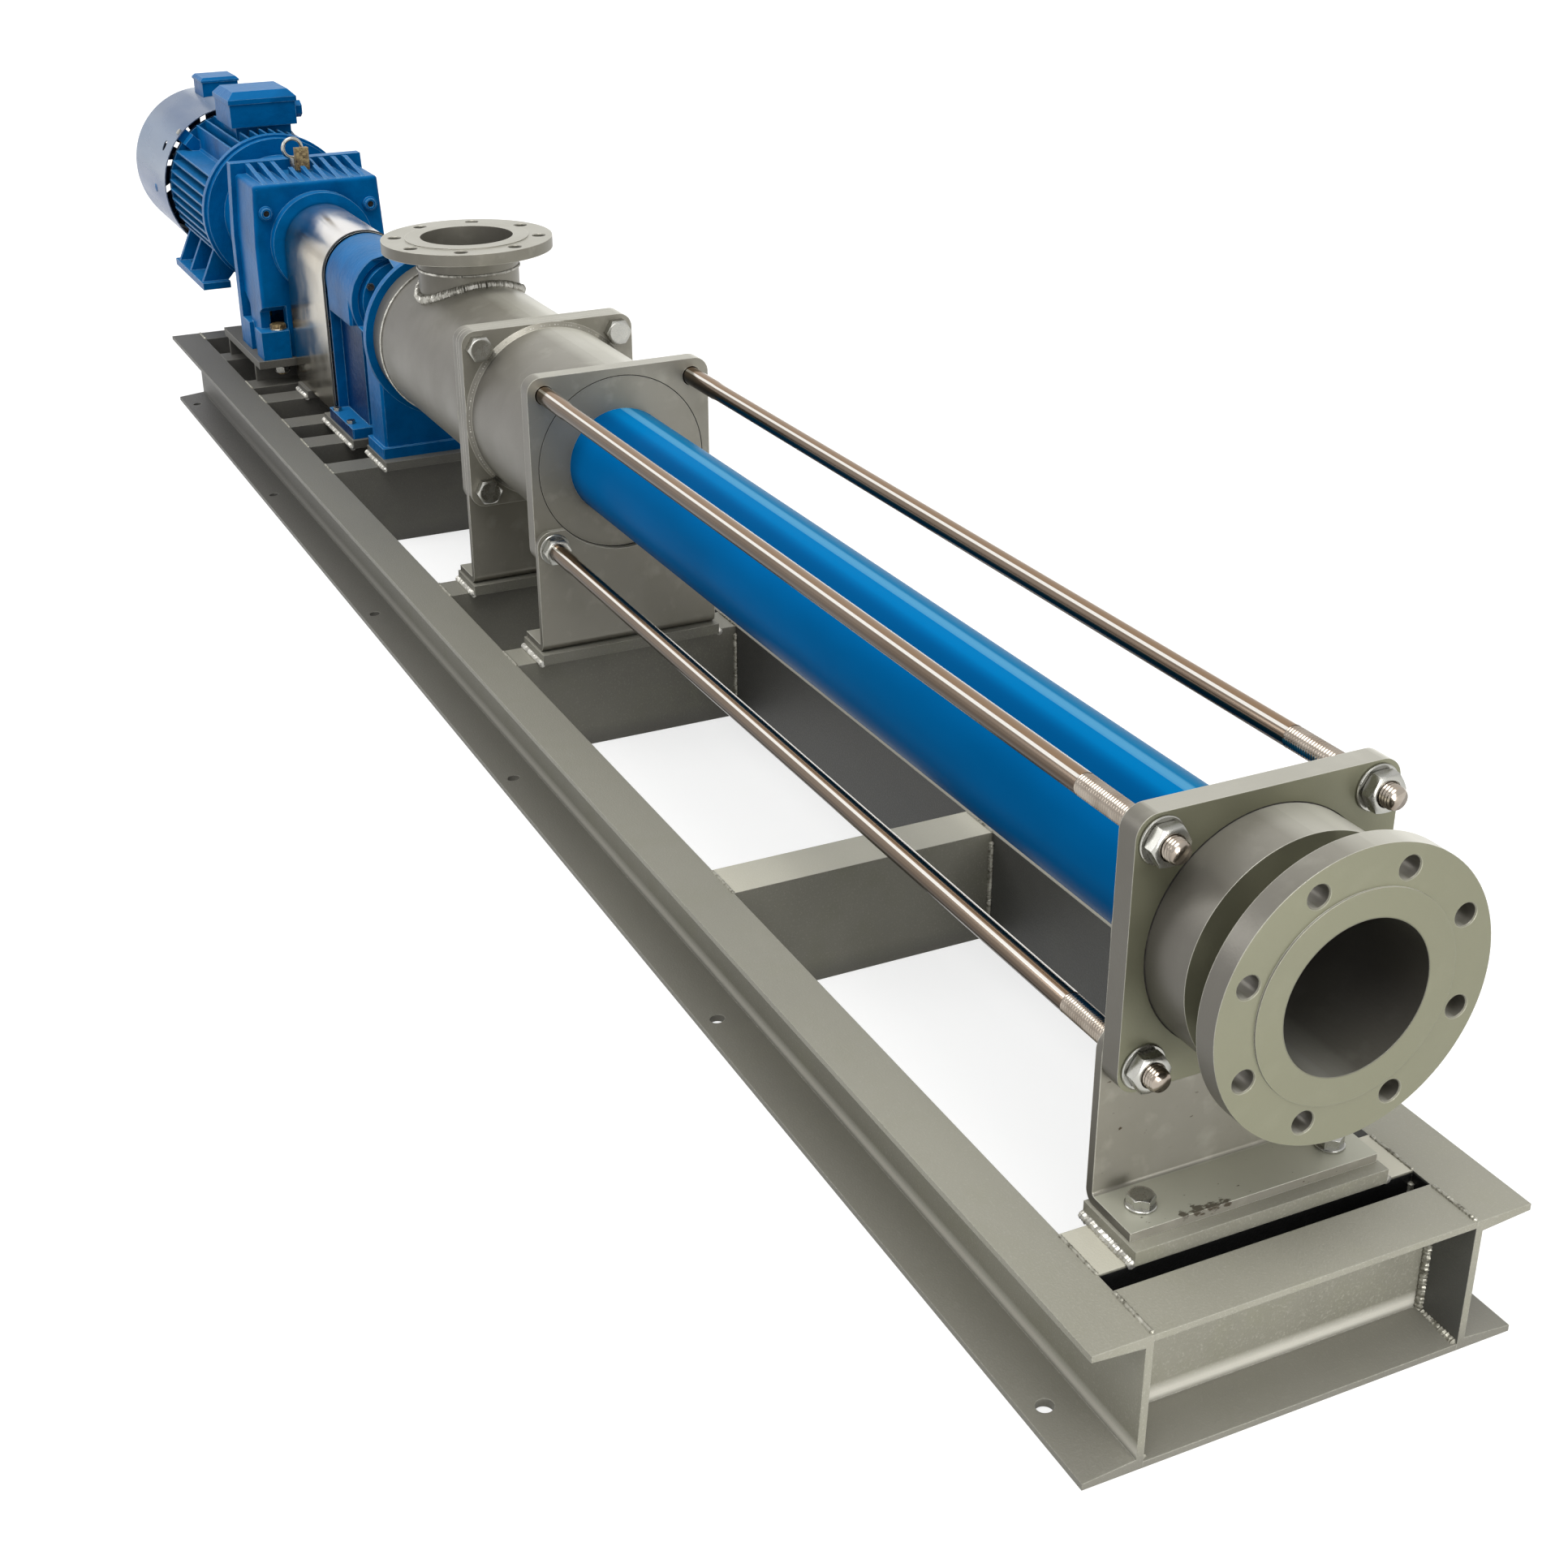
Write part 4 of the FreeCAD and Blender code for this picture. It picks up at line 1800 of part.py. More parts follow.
BUILDERS = [
    base_frame, discharge_body, plates_and_brackets, foot_bolts, tie_rods, rod_fasteners,
    inlet_clamp_plate, stator, rotor, spool, joint_fasteners, suction_housing, shaft_seal,
    bearing_housing, bearings, shaft_covers, drive_shaft, connecting_rod, coupling,
    coupling_guard, machine_screws, gearbox_stand, gearbox_housing, gearbox_cover, gear_train,
    drive_bearings, output_shaft, gearbox_fittings, motor_ends, motor_frame, motor_inside,
    terminal_boxes, fan_cowl, forced_fan,
]


def check_document():
    """Stop when a feature failed or a sub-part has no good shape."""
    for item in doc.Objects:
        if "Invalid" in item.State or "Error" in item.State:
            raise RuntimeError(f"{item.Label} failed: {item.State}")
    for item in parts:
        if item.Shape.isNull() or not item.Shape.isValid():
            raise RuntimeError(f"{item.Label} has no good shape")


def main():
    for build in BUILDERS:
        build()
    doc.recompute()
    check_document()
    os.makedirs("parts", exist_ok=True)
    for item in parts:
        item.Shape.exportStep(os.path.join("parts", f"{item.Label}.step"))


main()
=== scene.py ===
"""Finishes and fine detail of a progressive cavity pump on its welded channel base."""

import math
import random

import bmesh
import bpy
from bpy.props import FloatProperty, FloatVectorProperty, IntProperty, PointerProperty
from bpy.types import Operator, Panel, PropertyGroup
from mathutils import Matrix, Vector


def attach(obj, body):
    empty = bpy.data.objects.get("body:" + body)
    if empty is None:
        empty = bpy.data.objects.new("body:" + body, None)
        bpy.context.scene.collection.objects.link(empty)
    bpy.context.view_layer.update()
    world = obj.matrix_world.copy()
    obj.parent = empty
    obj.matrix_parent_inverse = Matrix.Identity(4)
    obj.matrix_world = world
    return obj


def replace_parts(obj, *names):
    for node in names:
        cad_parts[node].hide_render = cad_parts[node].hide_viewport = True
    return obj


bl_info = {
    "name": "Progressive cavity pump",
    "version": (1, 0, 0),
    "blender": (4, 5, 0),
    "location": "3D View > Sidebar > Pump",
    "description": "Finishes, welds, threads and fasteners of a tie-rod cavity pump",
    "category": "Object",
}

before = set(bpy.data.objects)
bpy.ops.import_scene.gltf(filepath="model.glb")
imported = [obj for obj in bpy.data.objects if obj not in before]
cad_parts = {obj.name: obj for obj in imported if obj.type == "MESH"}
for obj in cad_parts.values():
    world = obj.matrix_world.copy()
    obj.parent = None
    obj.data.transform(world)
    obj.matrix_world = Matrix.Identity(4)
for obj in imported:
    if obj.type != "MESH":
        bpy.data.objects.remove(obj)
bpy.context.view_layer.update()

MM = 0.001
AXIS_HEIGHT = 0.438
# Place of the discharge flange's face on X; stations are measured from it
DISCHARGE = 2.196
# Centres of tie rods and joint bolts, and of foot bolts, from the pump axis in mm
ROD_OFFSETS = (-113, 113)
FOOT_OFFSETS = (-107, 107)
# Share of a nut's width across flats where its turned corner starts
TURNED = 0.475


def linear(code):
    """Linear colour of an sRGB hex value."""
    parts = [int(code[i:i + 2], 16) / 255 for i in (1, 3, 5)]
    return tuple(c / 12.92 if c <= 0.04045 else ((c + 0.055) / 1.055) ** 2.4 for c in parts)


def paint(name, description, code):
    """A colour that a user may change."""
    return FloatVectorProperty(name=name, description=description, subtype="COLOR", size=3,
                               min=0, max=1, default=linear(code))


def size(name, description, millimetres):
    """A length that a user may change."""
    return FloatProperty(name=name, description=description, default=millimetres * MM,
                         min=0, unit="LENGTH", precision=4)


class PumpColours(PropertyGroup):
    """Colours of the pump's finishes."""

    frame_paint: paint("Base paint", "Grey-olive primer of the channel base", "#858376")
    frame_shade: paint("Base paint, dark", "Darker cloud in the primer", "#6b695d")
    stainless: paint("Stainless steel", "Bead-blasted stainless steel", "#87847a")
    stainless_stain: paint("Stainless stain", "Darker streak on the stainless steel", "#767367")
    tube_blue: paint("Stator blue", "Gloss paint of the stator tube", "#005f9c")
    enamel: paint("Casting blue", "Enamel of the castings and the motor", "#00568f")
    cowl: paint("Cowl", "Silver-blue paint of the fan cowl", "#5b6a80")
    polished: paint("Polished sheet", "Polished stainless guard", "#b8b3a7")
    # The rods' warm grey-brown is partly a painted reflection of the room
    rod: paint("Tie rods", "Ground bar with a warm cast", "#7d6f62")
    zinc: paint("Zinc plate", "Bright zinc on nuts, bolts and washers", "#aaa9a3")
    brown_zinc: paint("Old yellow zinc", "Foot bolts and vent plug of the gearbox", "#6e5c40")
    rubber: paint("Rubber", "Black rubber", "#1b1b1a")
    floor: paint("Floor", "Studio floor", "#a9a9a7")


class PumpSizes(PropertyGroup):
    """Sizes of the pump's fine detail."""

    weld_radius: size("Weld radius", "Half width of a fillet weld", 3.4)
    weld_ripple: size("Weld ripple", "Distance between two ripples of a weld", 4.5)
    rod_radius: size("Tie rod radius", "Radius of the tie rods", 12)
    rod_pitch: size("Thread pitch", "Pitch of the tie rod threads", 3.5)
    nut_flats: size("Tie rod nut", "Width across flats of the tie rod nuts", 36)
    nut_thick: size("Nut thickness", "Thickness of the tie rod nuts", 14)
    nut_chamfer: size("Nut chamfer", "Height of the turned corner on nuts", 2.4)
    # Also the width of the painted edge highlights on stainless, blue paint and the cowl
    edge_wear_and_highlight: size("Edge wear", "Width of worn paint along an edge", 1.6)
    soft_edge: size("Soft edge", "Radius drawn on sharp edges", 1)
    round_steps: IntProperty(name="Round steps", description="Faces around a nut or a thread",
                             default=36, min=12)


def at(station, y=0.0, z=0.0):
    """Point at a station behind the discharge face, and from the pump axis, in mm."""
    return Vector((DISCHARGE + station * MM, y * MM, AXIS_HEIGHT + z * MM))


# Finishes


def add(tree, kind, inputs=None, out=None, **settings):
    """Add a node with its settings; a socket given as an input is linked, a value is set."""
    item = tree.nodes.new(kind)
    for key, value in settings.items():
        setattr(item, key, value)
    for key, value in (inputs or {}).items():
        if isinstance(value, bpy.types.NodeSocket):
            tree.links.new(value, item.inputs[key])
        else:
            item.inputs[key].default_value = value
    return item if out is None else item.outputs[out]


class Finish:
    """A surface that is built up in layers over one principled shader."""

    def __init__(self, name, base, **settings):
        self.material = bpy.data.materials.new(name)
        self.material.use_nodes = True
        self.tree = self.material.node_tree
        self.tree.nodes.clear()
        self.place = add(self.tree, "ShaderNodeTexCoord", out="Object")
        self.shader = add(self.tree, "ShaderNodeBsdfPrincipled", {
            key.replace("_", " "): value for key, value in settings.items()})
        self.colour = (*base, 1)
        self.shader.inputs["Base Color"].default_value = self.colour
        self.output = add(self.tree, "ShaderNodeOutputMaterial", {
            "Surface": self.shader.outputs["BSDF"]})

    def pattern(self, feature, detail=4, stretch=(1, 1, 1)):
        """Noise with features of a size in metres, drawn out where stretch is below 1."""
        spot = add(self.tree, "ShaderNodeMapping", {"Vector": self.place, "Scale": stretch},
                   "Vector")
        return add(self.tree, "ShaderNodeTexNoise", {
            "Vector": spot, "Scale": 1 / feature, "Detail": detail}, "Fac")

    def layer(self, mask, colour, low=0.35, high=0.65, share=1.0):
        """Lay a colour over the surface where the mask rises from low to high."""
        cover = add(self.tree, "ShaderNodeMapRange", {
            "Value": mask, "From Min": low, "From Max": high, "To Max": share}, "Result")
        self.colour = add(self.tree, "ShaderNodeMix", {
            0: cover, 6: self.colour, 7: (*colour, 1)}, 2, data_type="RGBA")
        self.tree.links.new(self.colour, self.shader.inputs["Base Color"])

    def edges(self, width, breaks=None):
        """1 along outer edges and 0 on flats, broken up by a pattern if one is given."""
        soft = add(self.tree, "ShaderNodeBevel", {"Radius": width}, "Normal", samples=4)
        flat = add(self.tree, "ShaderNodeNewGeometry", out="True Normal")
        turn = add(self.tree, "ShaderNodeVectorMath", {0: soft, 1: flat}, "Value",
                   operation="DOT_PRODUCT")
        mask = add(self.tree, "ShaderNodeMapRange", {
            "Value": turn, "From Min": 0.99, "From Max": 0.86}, "Result")
        return mask if breaks is None else self.both(mask, breaks)

    def facing(self, axis):
        """How far the surface faces an axis of the row frame, from -1 to 1."""
        normal = add(self.tree, "ShaderNodeTexCoord", out="Normal")
        return add(self.tree, "ShaderNodeVectorMath", {0: normal, 1: axis}, "Value",
                   operation="DOT_PRODUCT")

    def along(self, axis, start, end):
        """0 before one place on an axis of the row frame and 1 past another one."""
        split = add(self.tree, "ShaderNodeSeparateXYZ", {0: self.place}, axis)
        return add(self.tree, "ShaderNodeMapRange", {
            "Value": split, "From Min": start, "From Max": end}, "Result")

    def both(self, *masks):
        """Where all the masks meet."""
        total = masks[0]
        for mask in masks[1:]:
            total = add(self.tree, "ShaderNodeMath", {0: total, 1: mask}, "Value",
                        operation="MULTIPLY")
        return total

    def gloss(self, mask, low, high):
        """Roughness from low to high with the mask."""
        value = add(self.tree, "ShaderNodeMapRange", {
            "Value": mask, "From Min": 0.3, "From Max": 0.7, "To Min": low, "To Max": high},
            "Result")
        self.tree.links.new(value, self.shader.inputs["Roughness"])

    def relief(self, mask, depth, edge):
        """Raise the mask by a depth in metres, over edges that are drawn soft."""
        soft = add(self.tree, "ShaderNodeBevel", {"Radius": edge}, "Normal", samples=4)
        bump = add(self.tree, "ShaderNodeBump", {
            "Height": mask, "Distance": depth, "Normal": soft}, "Normal")
        self.tree.links.new(bump, self.shader.inputs["Normal"])

    def near(self, centre, radius):
        """1 at a point of the row frame and 0 from a radius away."""
        gap = add(self.tree, "ShaderNodeVectorMath", {0: self.place, 1: centre}, "Value",
                  operation="DISTANCE")
        return add(self.tree, "ShaderNodeMapRange", {
            "Value": gap, "From Min": radius, "From Max": 0}, "Result")


def sprayed_primer(colours, sizes):
    """Primer sprayed on hot-rolled channel: cloudy and matt, with mill scale under it."""
    look = Finish("sprayed_primer_on_channel", colours.frame_shade, Metallic=0.2, IOR=1.5)
    cloud = look.pattern(0.3, 5, (0.4, 1, 1))
    grit = look.pattern(0.0025, 6)
    look.layer(cloud, colours.frame_paint)
    look.layer(look.pattern(0.05, 5), linear("#7c7b69"), 0.5, 0.7, 0.5)
    look.layer(grit, linear("#adac9f"), 0.54, 0.76, 0.4)
    # What faces up is paler, dusty and lit by painted top light, so the flanges are paler than the
    # webs
    look.layer(look.facing((0, 0, 1)), linear("#a19f92"), 0.5, 1, 0.45)
    # Painted shade on the inner face of the far rail
    inside = look.both(look.facing((0, -1, 0)), look.along("Y", 0.1, 0.17))
    look.layer(inside, linear("#3b3d3f"), 0.3, 1, 0.75)
    # Painted shadow: the pocket between the end channel and the first cross channel is painted
    # nearly black
    pocket_painted_shadow = look.both(look.along("X", 2.1105, 2.1115), look.along("X", 2.1395, 2.1385),
                       look.along("Z", 0.1485, 0.147), look.along("Y", -0.183, -0.181),
                       look.along("Y", 0.183, 0.181))
    look.layer(pocket_painted_shadow, linear("#0d0d0c"), 0, 1)
    # Darker toward the floor, below a height of 30 mm
    look.layer(look.along("Z", 0.03, 0.008), linear("#55534e"), 0, 1, 0.5)
    # Painted highlight: a pale line along the round root between web and lower flange
    root_painted_highlight = look.both(look.along("Z", 0.012, 0.018), look.along("Z", 0.033, 0.022))
    front_web = look.both(look.facing((1, 0, 0)), look.along("X", 2.12, 2.13),
                          look.along("X", 2.19, 2.18))
    near_web = look.both(look.facing((0, -1, 0)), look.along("Y", -0.17, -0.172))
    for web in (front_web, near_web):
        look.layer(look.both(root_painted_highlight, web), linear("#dad7cc"), 0, 1, 0.65)
    # Painted shade: the base darkens toward the motor end
    look.layer(look.along("X", 1.9, -1.4), linear("#3f3e3e"), 0, 1, 0.85)
    look.layer(look.edges(sizes.edge_wear_and_highlight, grit), linear("#b9b7aa"), 0.2, 0.7, 0.7)
    look.gloss(grit, 0.42, 0.6)
    look.relief(grit, 0.0004, sizes.soft_edge * 1.8)
    return look


def primer_with_dust_and_highlight(colours, sizes):
    """The primer of the cross channels, dusty and with a painted highlight on top."""
    look = sprayed_primer(colours, sizes)
    look.material.name = "sprayed_primer_with_dust_and_highlight"
    # Painted highlight on the dusty tops toward the front
    dust_and_highlight = look.both(look.facing((0, 0, 1)), look.along("X", 0.3, 1.3))
    look.layer(dust_and_highlight, linear("#c4c1b1"), 0.1, 1, 0.8)
    return look


def blasted_stainless(colours, sizes):
    """Stainless plate and pipe, bead blasted: grey satin with soft stains."""
    look = Finish("bead_blasted_stainless", colours.stainless, Metallic=0.45,
                  Specular_IOR_Level=0.3)
    stain = look.pattern(0.11, 5)
    fine = look.pattern(0.0025, 3)
    look.layer(stain, colours.stainless_stain, 0.42, 0.7, 0.7)
    look.layer(look.pattern(0.03, 4), linear("#aaa89c"), 0.55, 0.75, 0.3)
    # Painted shade on the sides facing -Y and underneath, painted light on what faces up, and a
    # narrow painted highlight
    look.layer(look.facing((0, -1, 0)), linear("#5c5954"), 0.2, 0.95, 0.85)
    look.layer(look.facing((0, 0.3, 0.95)), linear("#c9c7bb"), 0.88, 1, 0.75)
    look.layer(look.facing((0, 0.42, 0.91)), linear("#dcdace"), 0.975, 0.998, 0.45)
    look.layer(look.facing((0, -0.6, -0.8)), linear("#57554b"), 0.3, 1, 0.6)
    # Painted highlight along the edges
    look.layer(look.edges(sizes.edge_wear_and_highlight), linear("#d9d7cb"), 0, 1, 0.85)
    look.gloss(stain, 0.32, 0.44)
    look.relief(fine, 0.0001, sizes.soft_edge)
    return look


def olive_stainless(colours, sizes):
    """The machined discharge flange: blasted stainless with an olive painted reflection on the
    faces toward +X.
    """
    look = blasted_stainless(colours, sizes)
    look.material.name = "bead_blasted_stainless_olive"
    # Painted reflection: an olive cast on the faces toward +X
    look.layer(look.facing((1, 0, 0)), linear("#6e6e59"), 0.4, 0.95, 0.85)
    # The bore, within about 75 mm of the axis, is darker
    across = add(look.tree, "ShaderNodeVectorMath", {0: look.place, 1: (0, 1, 1)}, "Vector",
                 operation="MULTIPLY")
    reach = add(look.tree, "ShaderNodeVectorMath", {0: across, 1: (0, 0, AXIS_HEIGHT)}, "Value",
                operation="DISTANCE")
    look.layer(reach, linear("#35332d"), 0.0765, 0.0745, 0.75)
    return look


def stained_stainless(colours, sizes):
    """The discharge support: blasted stainless with a thin rusty smear on its foot."""
    look = blasted_stainless(colours, sizes)
    look.material.name = "bead_blasted_stainless_stained"
    # Painted light on what faces up, which pales the top of the foot
    look.layer(look.facing((0, 0, 1)), linear("#b2b2a3"), 0.9, 1, 0.85)
    flake = look.pattern(0.005, 6, (1, 0.5, 1))
    for y, reach in ((-80, 0.009), (-64, 0.012), (-48, 0.012), (-34, 0.009)):
        smear = add(look.tree, "ShaderNodeMath", {
            0: look.near(at(-96, y, -262), reach), 1: 0.45, 2: flake}, "Value",
            operation="MULTIPLY_ADD")
        look.layer(smear, linear("#382c1c"), 0.7, 0.8, 0.8)
    return look


def blasted_weld(colours, sizes):
    """Weld metal blasted with the pipe: the pipe's grey with bright silver crests."""
    look = Finish("blasted_weld_bead", linear("#b4b2aa"), Metallic=0.7)
    ripple = look.pattern(0.006, 4)
    look.layer(ripple, linear("#8b887f"), 0.5, 0.7)
    look.layer(look.pattern(0.01, 4), linear("#d8d6cf"), 0.52, 0.66, 0.8)
    look.gloss(ripple, 0.28, 0.46)
    look.relief(ripple, 0.0004, sizes.soft_edge * 0.3)
    return look


def gloss_tube(colours, sizes):
    """Two-coat gloss paint on drawn tube: deep blue with a slight orange peel."""
    look = Finish("gloss_blue_paint_on_tube", colours.tube_blue, Roughness=0.26, IOR=1.5,
                  Specular_IOR_Level=0.004, Specular_Tint=(0.05, 0.45, 1, 1))
    shade = tuple(v * 0.8 for v in colours.tube_blue)
    look.layer(look.pattern(0.12, 3, (0.3, 1, 1)), shade)
    # Painted light around the tube: a paler crown, a painted shadow band under it, a teal painted
    # reflection toward the +Y side, a soft painted highlight of sky, and painted shade underneath
    look.layer(look.facing((0, 0.03, 1)), linear("#006fa8"), 0.93, 0.99, 0.7)
    look.layer(look.facing((0, -0.47, 0.88)), linear("#003e6c"), 0.95, 0.995, 0.6)
    look.layer(look.facing((0, 0.42, 0.91)), linear("#0e6a90"), 0.94, 0.985, 0.7)
    look.layer(look.facing((0, 0.12, 0.993)), linear("#5c9cbc"), 0.9965, 0.9999, 0.65)
    look.layer(look.facing((0, -0.6, -0.8)), linear("#003157"), 0.6, 1, 0.6)
    # Painted highlight along the edges
    look.layer(look.edges(sizes.edge_wear_and_highlight), linear("#2f7fbd"), 0, 1, 0.5)
    look.relief(look.pattern(0.009, 2), 0.00012, sizes.soft_edge)
    return look


def cast_enamel(colours, sizes):
    """Enamel brushed on sand-cast iron: soft edges, sand grain under the gloss."""
    look = Finish("enamel_on_cast_iron", colours.enamel, Roughness=0.34, IOR=1.5,
                  Specular_IOR_Level=0.08, Specular_Tint=(0.1, 0.5, 1, 1))
    sand = look.pattern(0.012, 5)
    look.layer(look.pattern(0.07, 4), linear("#003866"), 0.42, 0.7, 0.6)
    # Painted reflection of the sky: upward faces are a lighter blue
    look.layer(look.facing((0, 0, 1)), linear("#21699c"), 0.45, 1, 0.6)
    # Painted shadow: the side of the rear column is darkened as if the guard shaded it
    shade = look.both(look.facing((0, -1, 0)), look.along("X", -0.78, -0.77),
                      look.along("X", -0.58, -0.6), look.along("Z", 0.42, 0.34))
    look.layer(shade, linear("#00143c"), 0.2, 0.8, 0.85)
    # Painted highlight along the edges, broken up by a pattern
    look.layer(look.edges(sizes.edge_wear_and_highlight * 1.3, look.pattern(0.012, 5)), linear("#7fb2d6"),
               0.15, 0.5, 0.85)
    look.relief(sand, 0.0012, sizes.soft_edge * 2.5)
    return look


def cowl_paint(colours, sizes):
    """Silver-blue paint on rolled sheet: reflective, with faint draw marks."""
    look = Finish("silver_blue_paint_on_sheet", colours.cowl, Metallic=0.25,
                  Specular_IOR_Level=0.12)
    draw = look.pattern(0.09, 3, (0.25, 1, 1))
    look.layer(draw, linear("#3a5378"), 0.4, 0.65, 0.5)
    # Painted reflections around the cowl: sky above, slate in the middle, the blue castings below
    look.layer(look.facing((0, 0.34, 0.94)), linear("#b9c1ca"), 0.82, 0.97, 0.85)
    look.layer(look.facing((0, -0.9, 0.43)), linear("#76869b"), 0.9, 0.98, 0.6)
    look.layer(look.facing((0, -0.85, -0.53)), linear("#1f4a80"), 0.75, 0.95, 0.85)
    # Painted highlight along the edges
    look.layer(look.edges(sizes.edge_wear_and_highlight), linear("#c9d0d8"), 0, 1, 0.6)
    look.gloss(draw, 0.2, 0.32)
    look.relief(draw, 0.0001, sizes.soft_edge)
    return look


def polished_sheet(colours, sizes):
    """Stainless sheet, rolled and polished: near mirror with fine lines around it."""
    look = Finish("polished_stainless_sheet", colours.polished, Metallic=1.0)
    smear = look.pattern(0.08, 5)
    look.layer(smear, linear("#b3aea2"), 0.4, 0.7, 0.6)
    # Painted reflections: warm bands on the sides for the floor and the castings, and a pale crown
    # for the sky
    look.layer(look.pattern(0.16, 3, (1, 0.4, 0.4)), linear("#9b8d76"), 0.45, 0.7, 0.5)
    look.layer(look.facing((0, 0, 1)), linear("#f4f1ee"), 0.45, 0.85, 0.95)
    look.gloss(smear, 0.13, 0.27)
    # Polishing lines are drawn 1.5 mm apart, far coarser than real, so that they show
    look.relief(look.pattern(0.0015, 2, (1, 0.05, 0.05)), 0.00003, sizes.soft_edge)
    return look


def ground_bar(colours, sizes):
    """Stainless bar, centreless ground, with painted reflections: bright and brown bands above,
    dark below.
    """
    look = Finish("ground_stainless_bar", colours.rod, Metallic=1.0)
    look.layer(look.pattern(0.2, 4, (1, 0.3, 0.3)), linear("#6b5c4d"), 0.4, 0.65, 0.5)
    # Painted reflections in bands along the bar: bright crown and line, brown between, dark below
    for axis, colour, low, high in (
            ((0, -0.09, 1.0), "#967b60", 0.84, 0.93), ((0, 0.57, 0.82), "#f4eee6", 0.92, 0.98),
            ((0, -0.62, 0.79), "#fbf7f0", 0.991, 0.9985),
            ((0, -0.94, -0.34), "#3b2f24", 0.66, 0.9)):
        look.layer(look.facing(axis), linear(colour), low, high, 0.9)
    draw = look.pattern(0.004, 2, (0.03, 1, 1))
    look.gloss(draw, 0.14, 0.22)
    return look


def threaded_bar(colours, sizes):
    """The rolled threads of the same bar, more silver than the shank."""
    look = ground_bar(colours, sizes)
    look.material.name = "rolled_thread_on_stainless_bar"
    look.layer(look.pattern(0.03, 2), linear("#bdb5aa"), 0.2, 0.6, 0.6)
    return look


def bright_zinc(colours, sizes):
    """Forged steel with bright zinc: clean facets, a little dull in the hollows."""
    look = Finish("bright_zinc_plate", colours.zinc, Metallic=1.0)
    flake = look.pattern(0.012, 4)
    look.layer(flake, linear("#a5a6a2"), 0.45, 0.75, 0.7)
    look.gloss(flake, 0.2, 0.34)
    look.relief(flake, 0.00005, sizes.soft_edge * 0.5)
    return look


def seam_grime_and_shade(colours, sizes):
    """Dirt and painted shadow in the joint between two machined parts, and painted shade in a
    plug's socket: nearly black.
    """
    look = Finish("dark_joint_gap", linear("#1d1b17"), Roughness=0.9, IOR=1.45)
    look.layer(look.pattern(0.01, 4), linear("#3a372f"), 0.5, 0.75)
    return look


def aged_zinc(colours, sizes):
    """Yellow zinc and brass that has aged: brown, speckled, half dull."""
    look = Finish("aged_yellow_zinc", colours.brown_zinc, Metallic=0.6)
    speck = look.pattern(0.006, 6)
    look.layer(speck, linear("#a08c62"), 0.45, 0.6)
    look.layer(look.pattern(0.004, 4), linear("#2a2219"), 0.56, 0.66)
    look.gloss(speck, 0.35, 0.6)
    look.relief(speck, 0.0005, sizes.soft_edge * 0.6)
    return look


def black_rubber(colours, sizes):
    """Moulded nitrile rubber: matt black with a greyish bloom."""
    look = Finish("moulded_nitrile_rubber", colours.rubber, Roughness=0.72, IOR=1.52)
    look.layer(look.pattern(0.02, 5), linear("#383734"), 0.45, 0.75)
    look.relief(look.pattern(0.003, 4), 0.0004, sizes.soft_edge)
    return look


def weld_metal(colours, sizes):
    """Weld metal sprayed with the base: brighter crests, dark heat-tinted toes."""
    look = Finish("primed_weld_bead", linear("#9b998d"), Metallic=0.5)
    ripple = look.pattern(0.005, 5)
    look.layer(ripple, linear("#605d51"), 0.45, 0.65)
    look.layer(look.pattern(0.012, 4), linear("#c4c2b6"), 0.58, 0.7, 0.7)
    look.gloss(ripple, 0.3, 0.5)
    look.relief(ripple, 0.0005, sizes.soft_edge * 0.3)
    return look


def dark_part(name, base, shade, rough):
    """Moulded nylon, matt black, or stacked electrical sheet, dull grey."""
    def make(colours, sizes):
        look = Finish(name, linear(base), Roughness=rough, IOR=1.5)
        look.layer(look.pattern(0.02, 4), linear(shade))
        look.relief(look.pattern(0.002, 3), 0.0002, sizes.soft_edge)
        return look
    return make


def turned_steel(name, bright, dull, rough, mark=0.0015):
    """Machined metal with fine marks around the shaft, drawn 1.5 mm apart to show."""
    def make(colours, sizes):
        look = Finish(name, linear(bright), Metallic=1.0)
        ring = look.pattern(mark, 2, (1, 0.03, 0.03))
        look.layer(look.pattern(0.03, 4), linear(dull), 0.35, 0.7)
        look.gloss(ring, rough, rough + 0.12)
        look.relief(ring, 0.00004, sizes.soft_edge * 0.5)
        return look
    return make


FINISHES = {
    "frame_paint": sprayed_primer,
    "primer_with_dust_and_highlight": primer_with_dust_and_highlight,
    "threaded_bar": threaded_bar,
    "satin_stainless": blasted_stainless,
    "blue_tube": gloss_tube,
    "blue_enamel": cast_enamel,
    "cowl_paint": cowl_paint,
    "polished_sheet": polished_sheet,
    "polished_rod": ground_bar,
    "zinc_steel": bright_zinc,
    "yellow_zinc": aged_zinc,
    "bronze": aged_zinc,
    "black_rubber": black_rubber,
    "weld": weld_metal,
    "olive_stainless": olive_stainless,
    "stained_stainless": stained_stainless,
    "seam_grime_and_shade": seam_grime_and_shade,
    "blasted_weld": blasted_weld,
    "hard_chrome": turned_steel("hard_chrome_on_rotor", "#d9dade", "#c3c5ca", 0.08, 0.003),
    "ground_steel": turned_steel("ground_shaft_steel", "#a4a5a6", "#87888a", 0.2),
    "gear_steel": turned_steel("oiled_gear_steel", "#77787d", "#57585c", 0.22),
    "hub_iron": turned_steel("turned_grey_iron", "#5b5c5e", "#454648", 0.38),
    "seal_carbide": turned_steel("lapped_silicon_carbide", "#3a3b3f", "#2c2d30", 0.15),
    "lamination": dark_part("stacked_electrical_sheet", "#4d4d52", "#3b3b3f", 0.5),
    "fan_plastic": dark_part("glass_filled_nylon", "#1c1d1f", "#2a2b2d", 0.55),
}
# Materials already made, by the name of their finish
MADE = {}


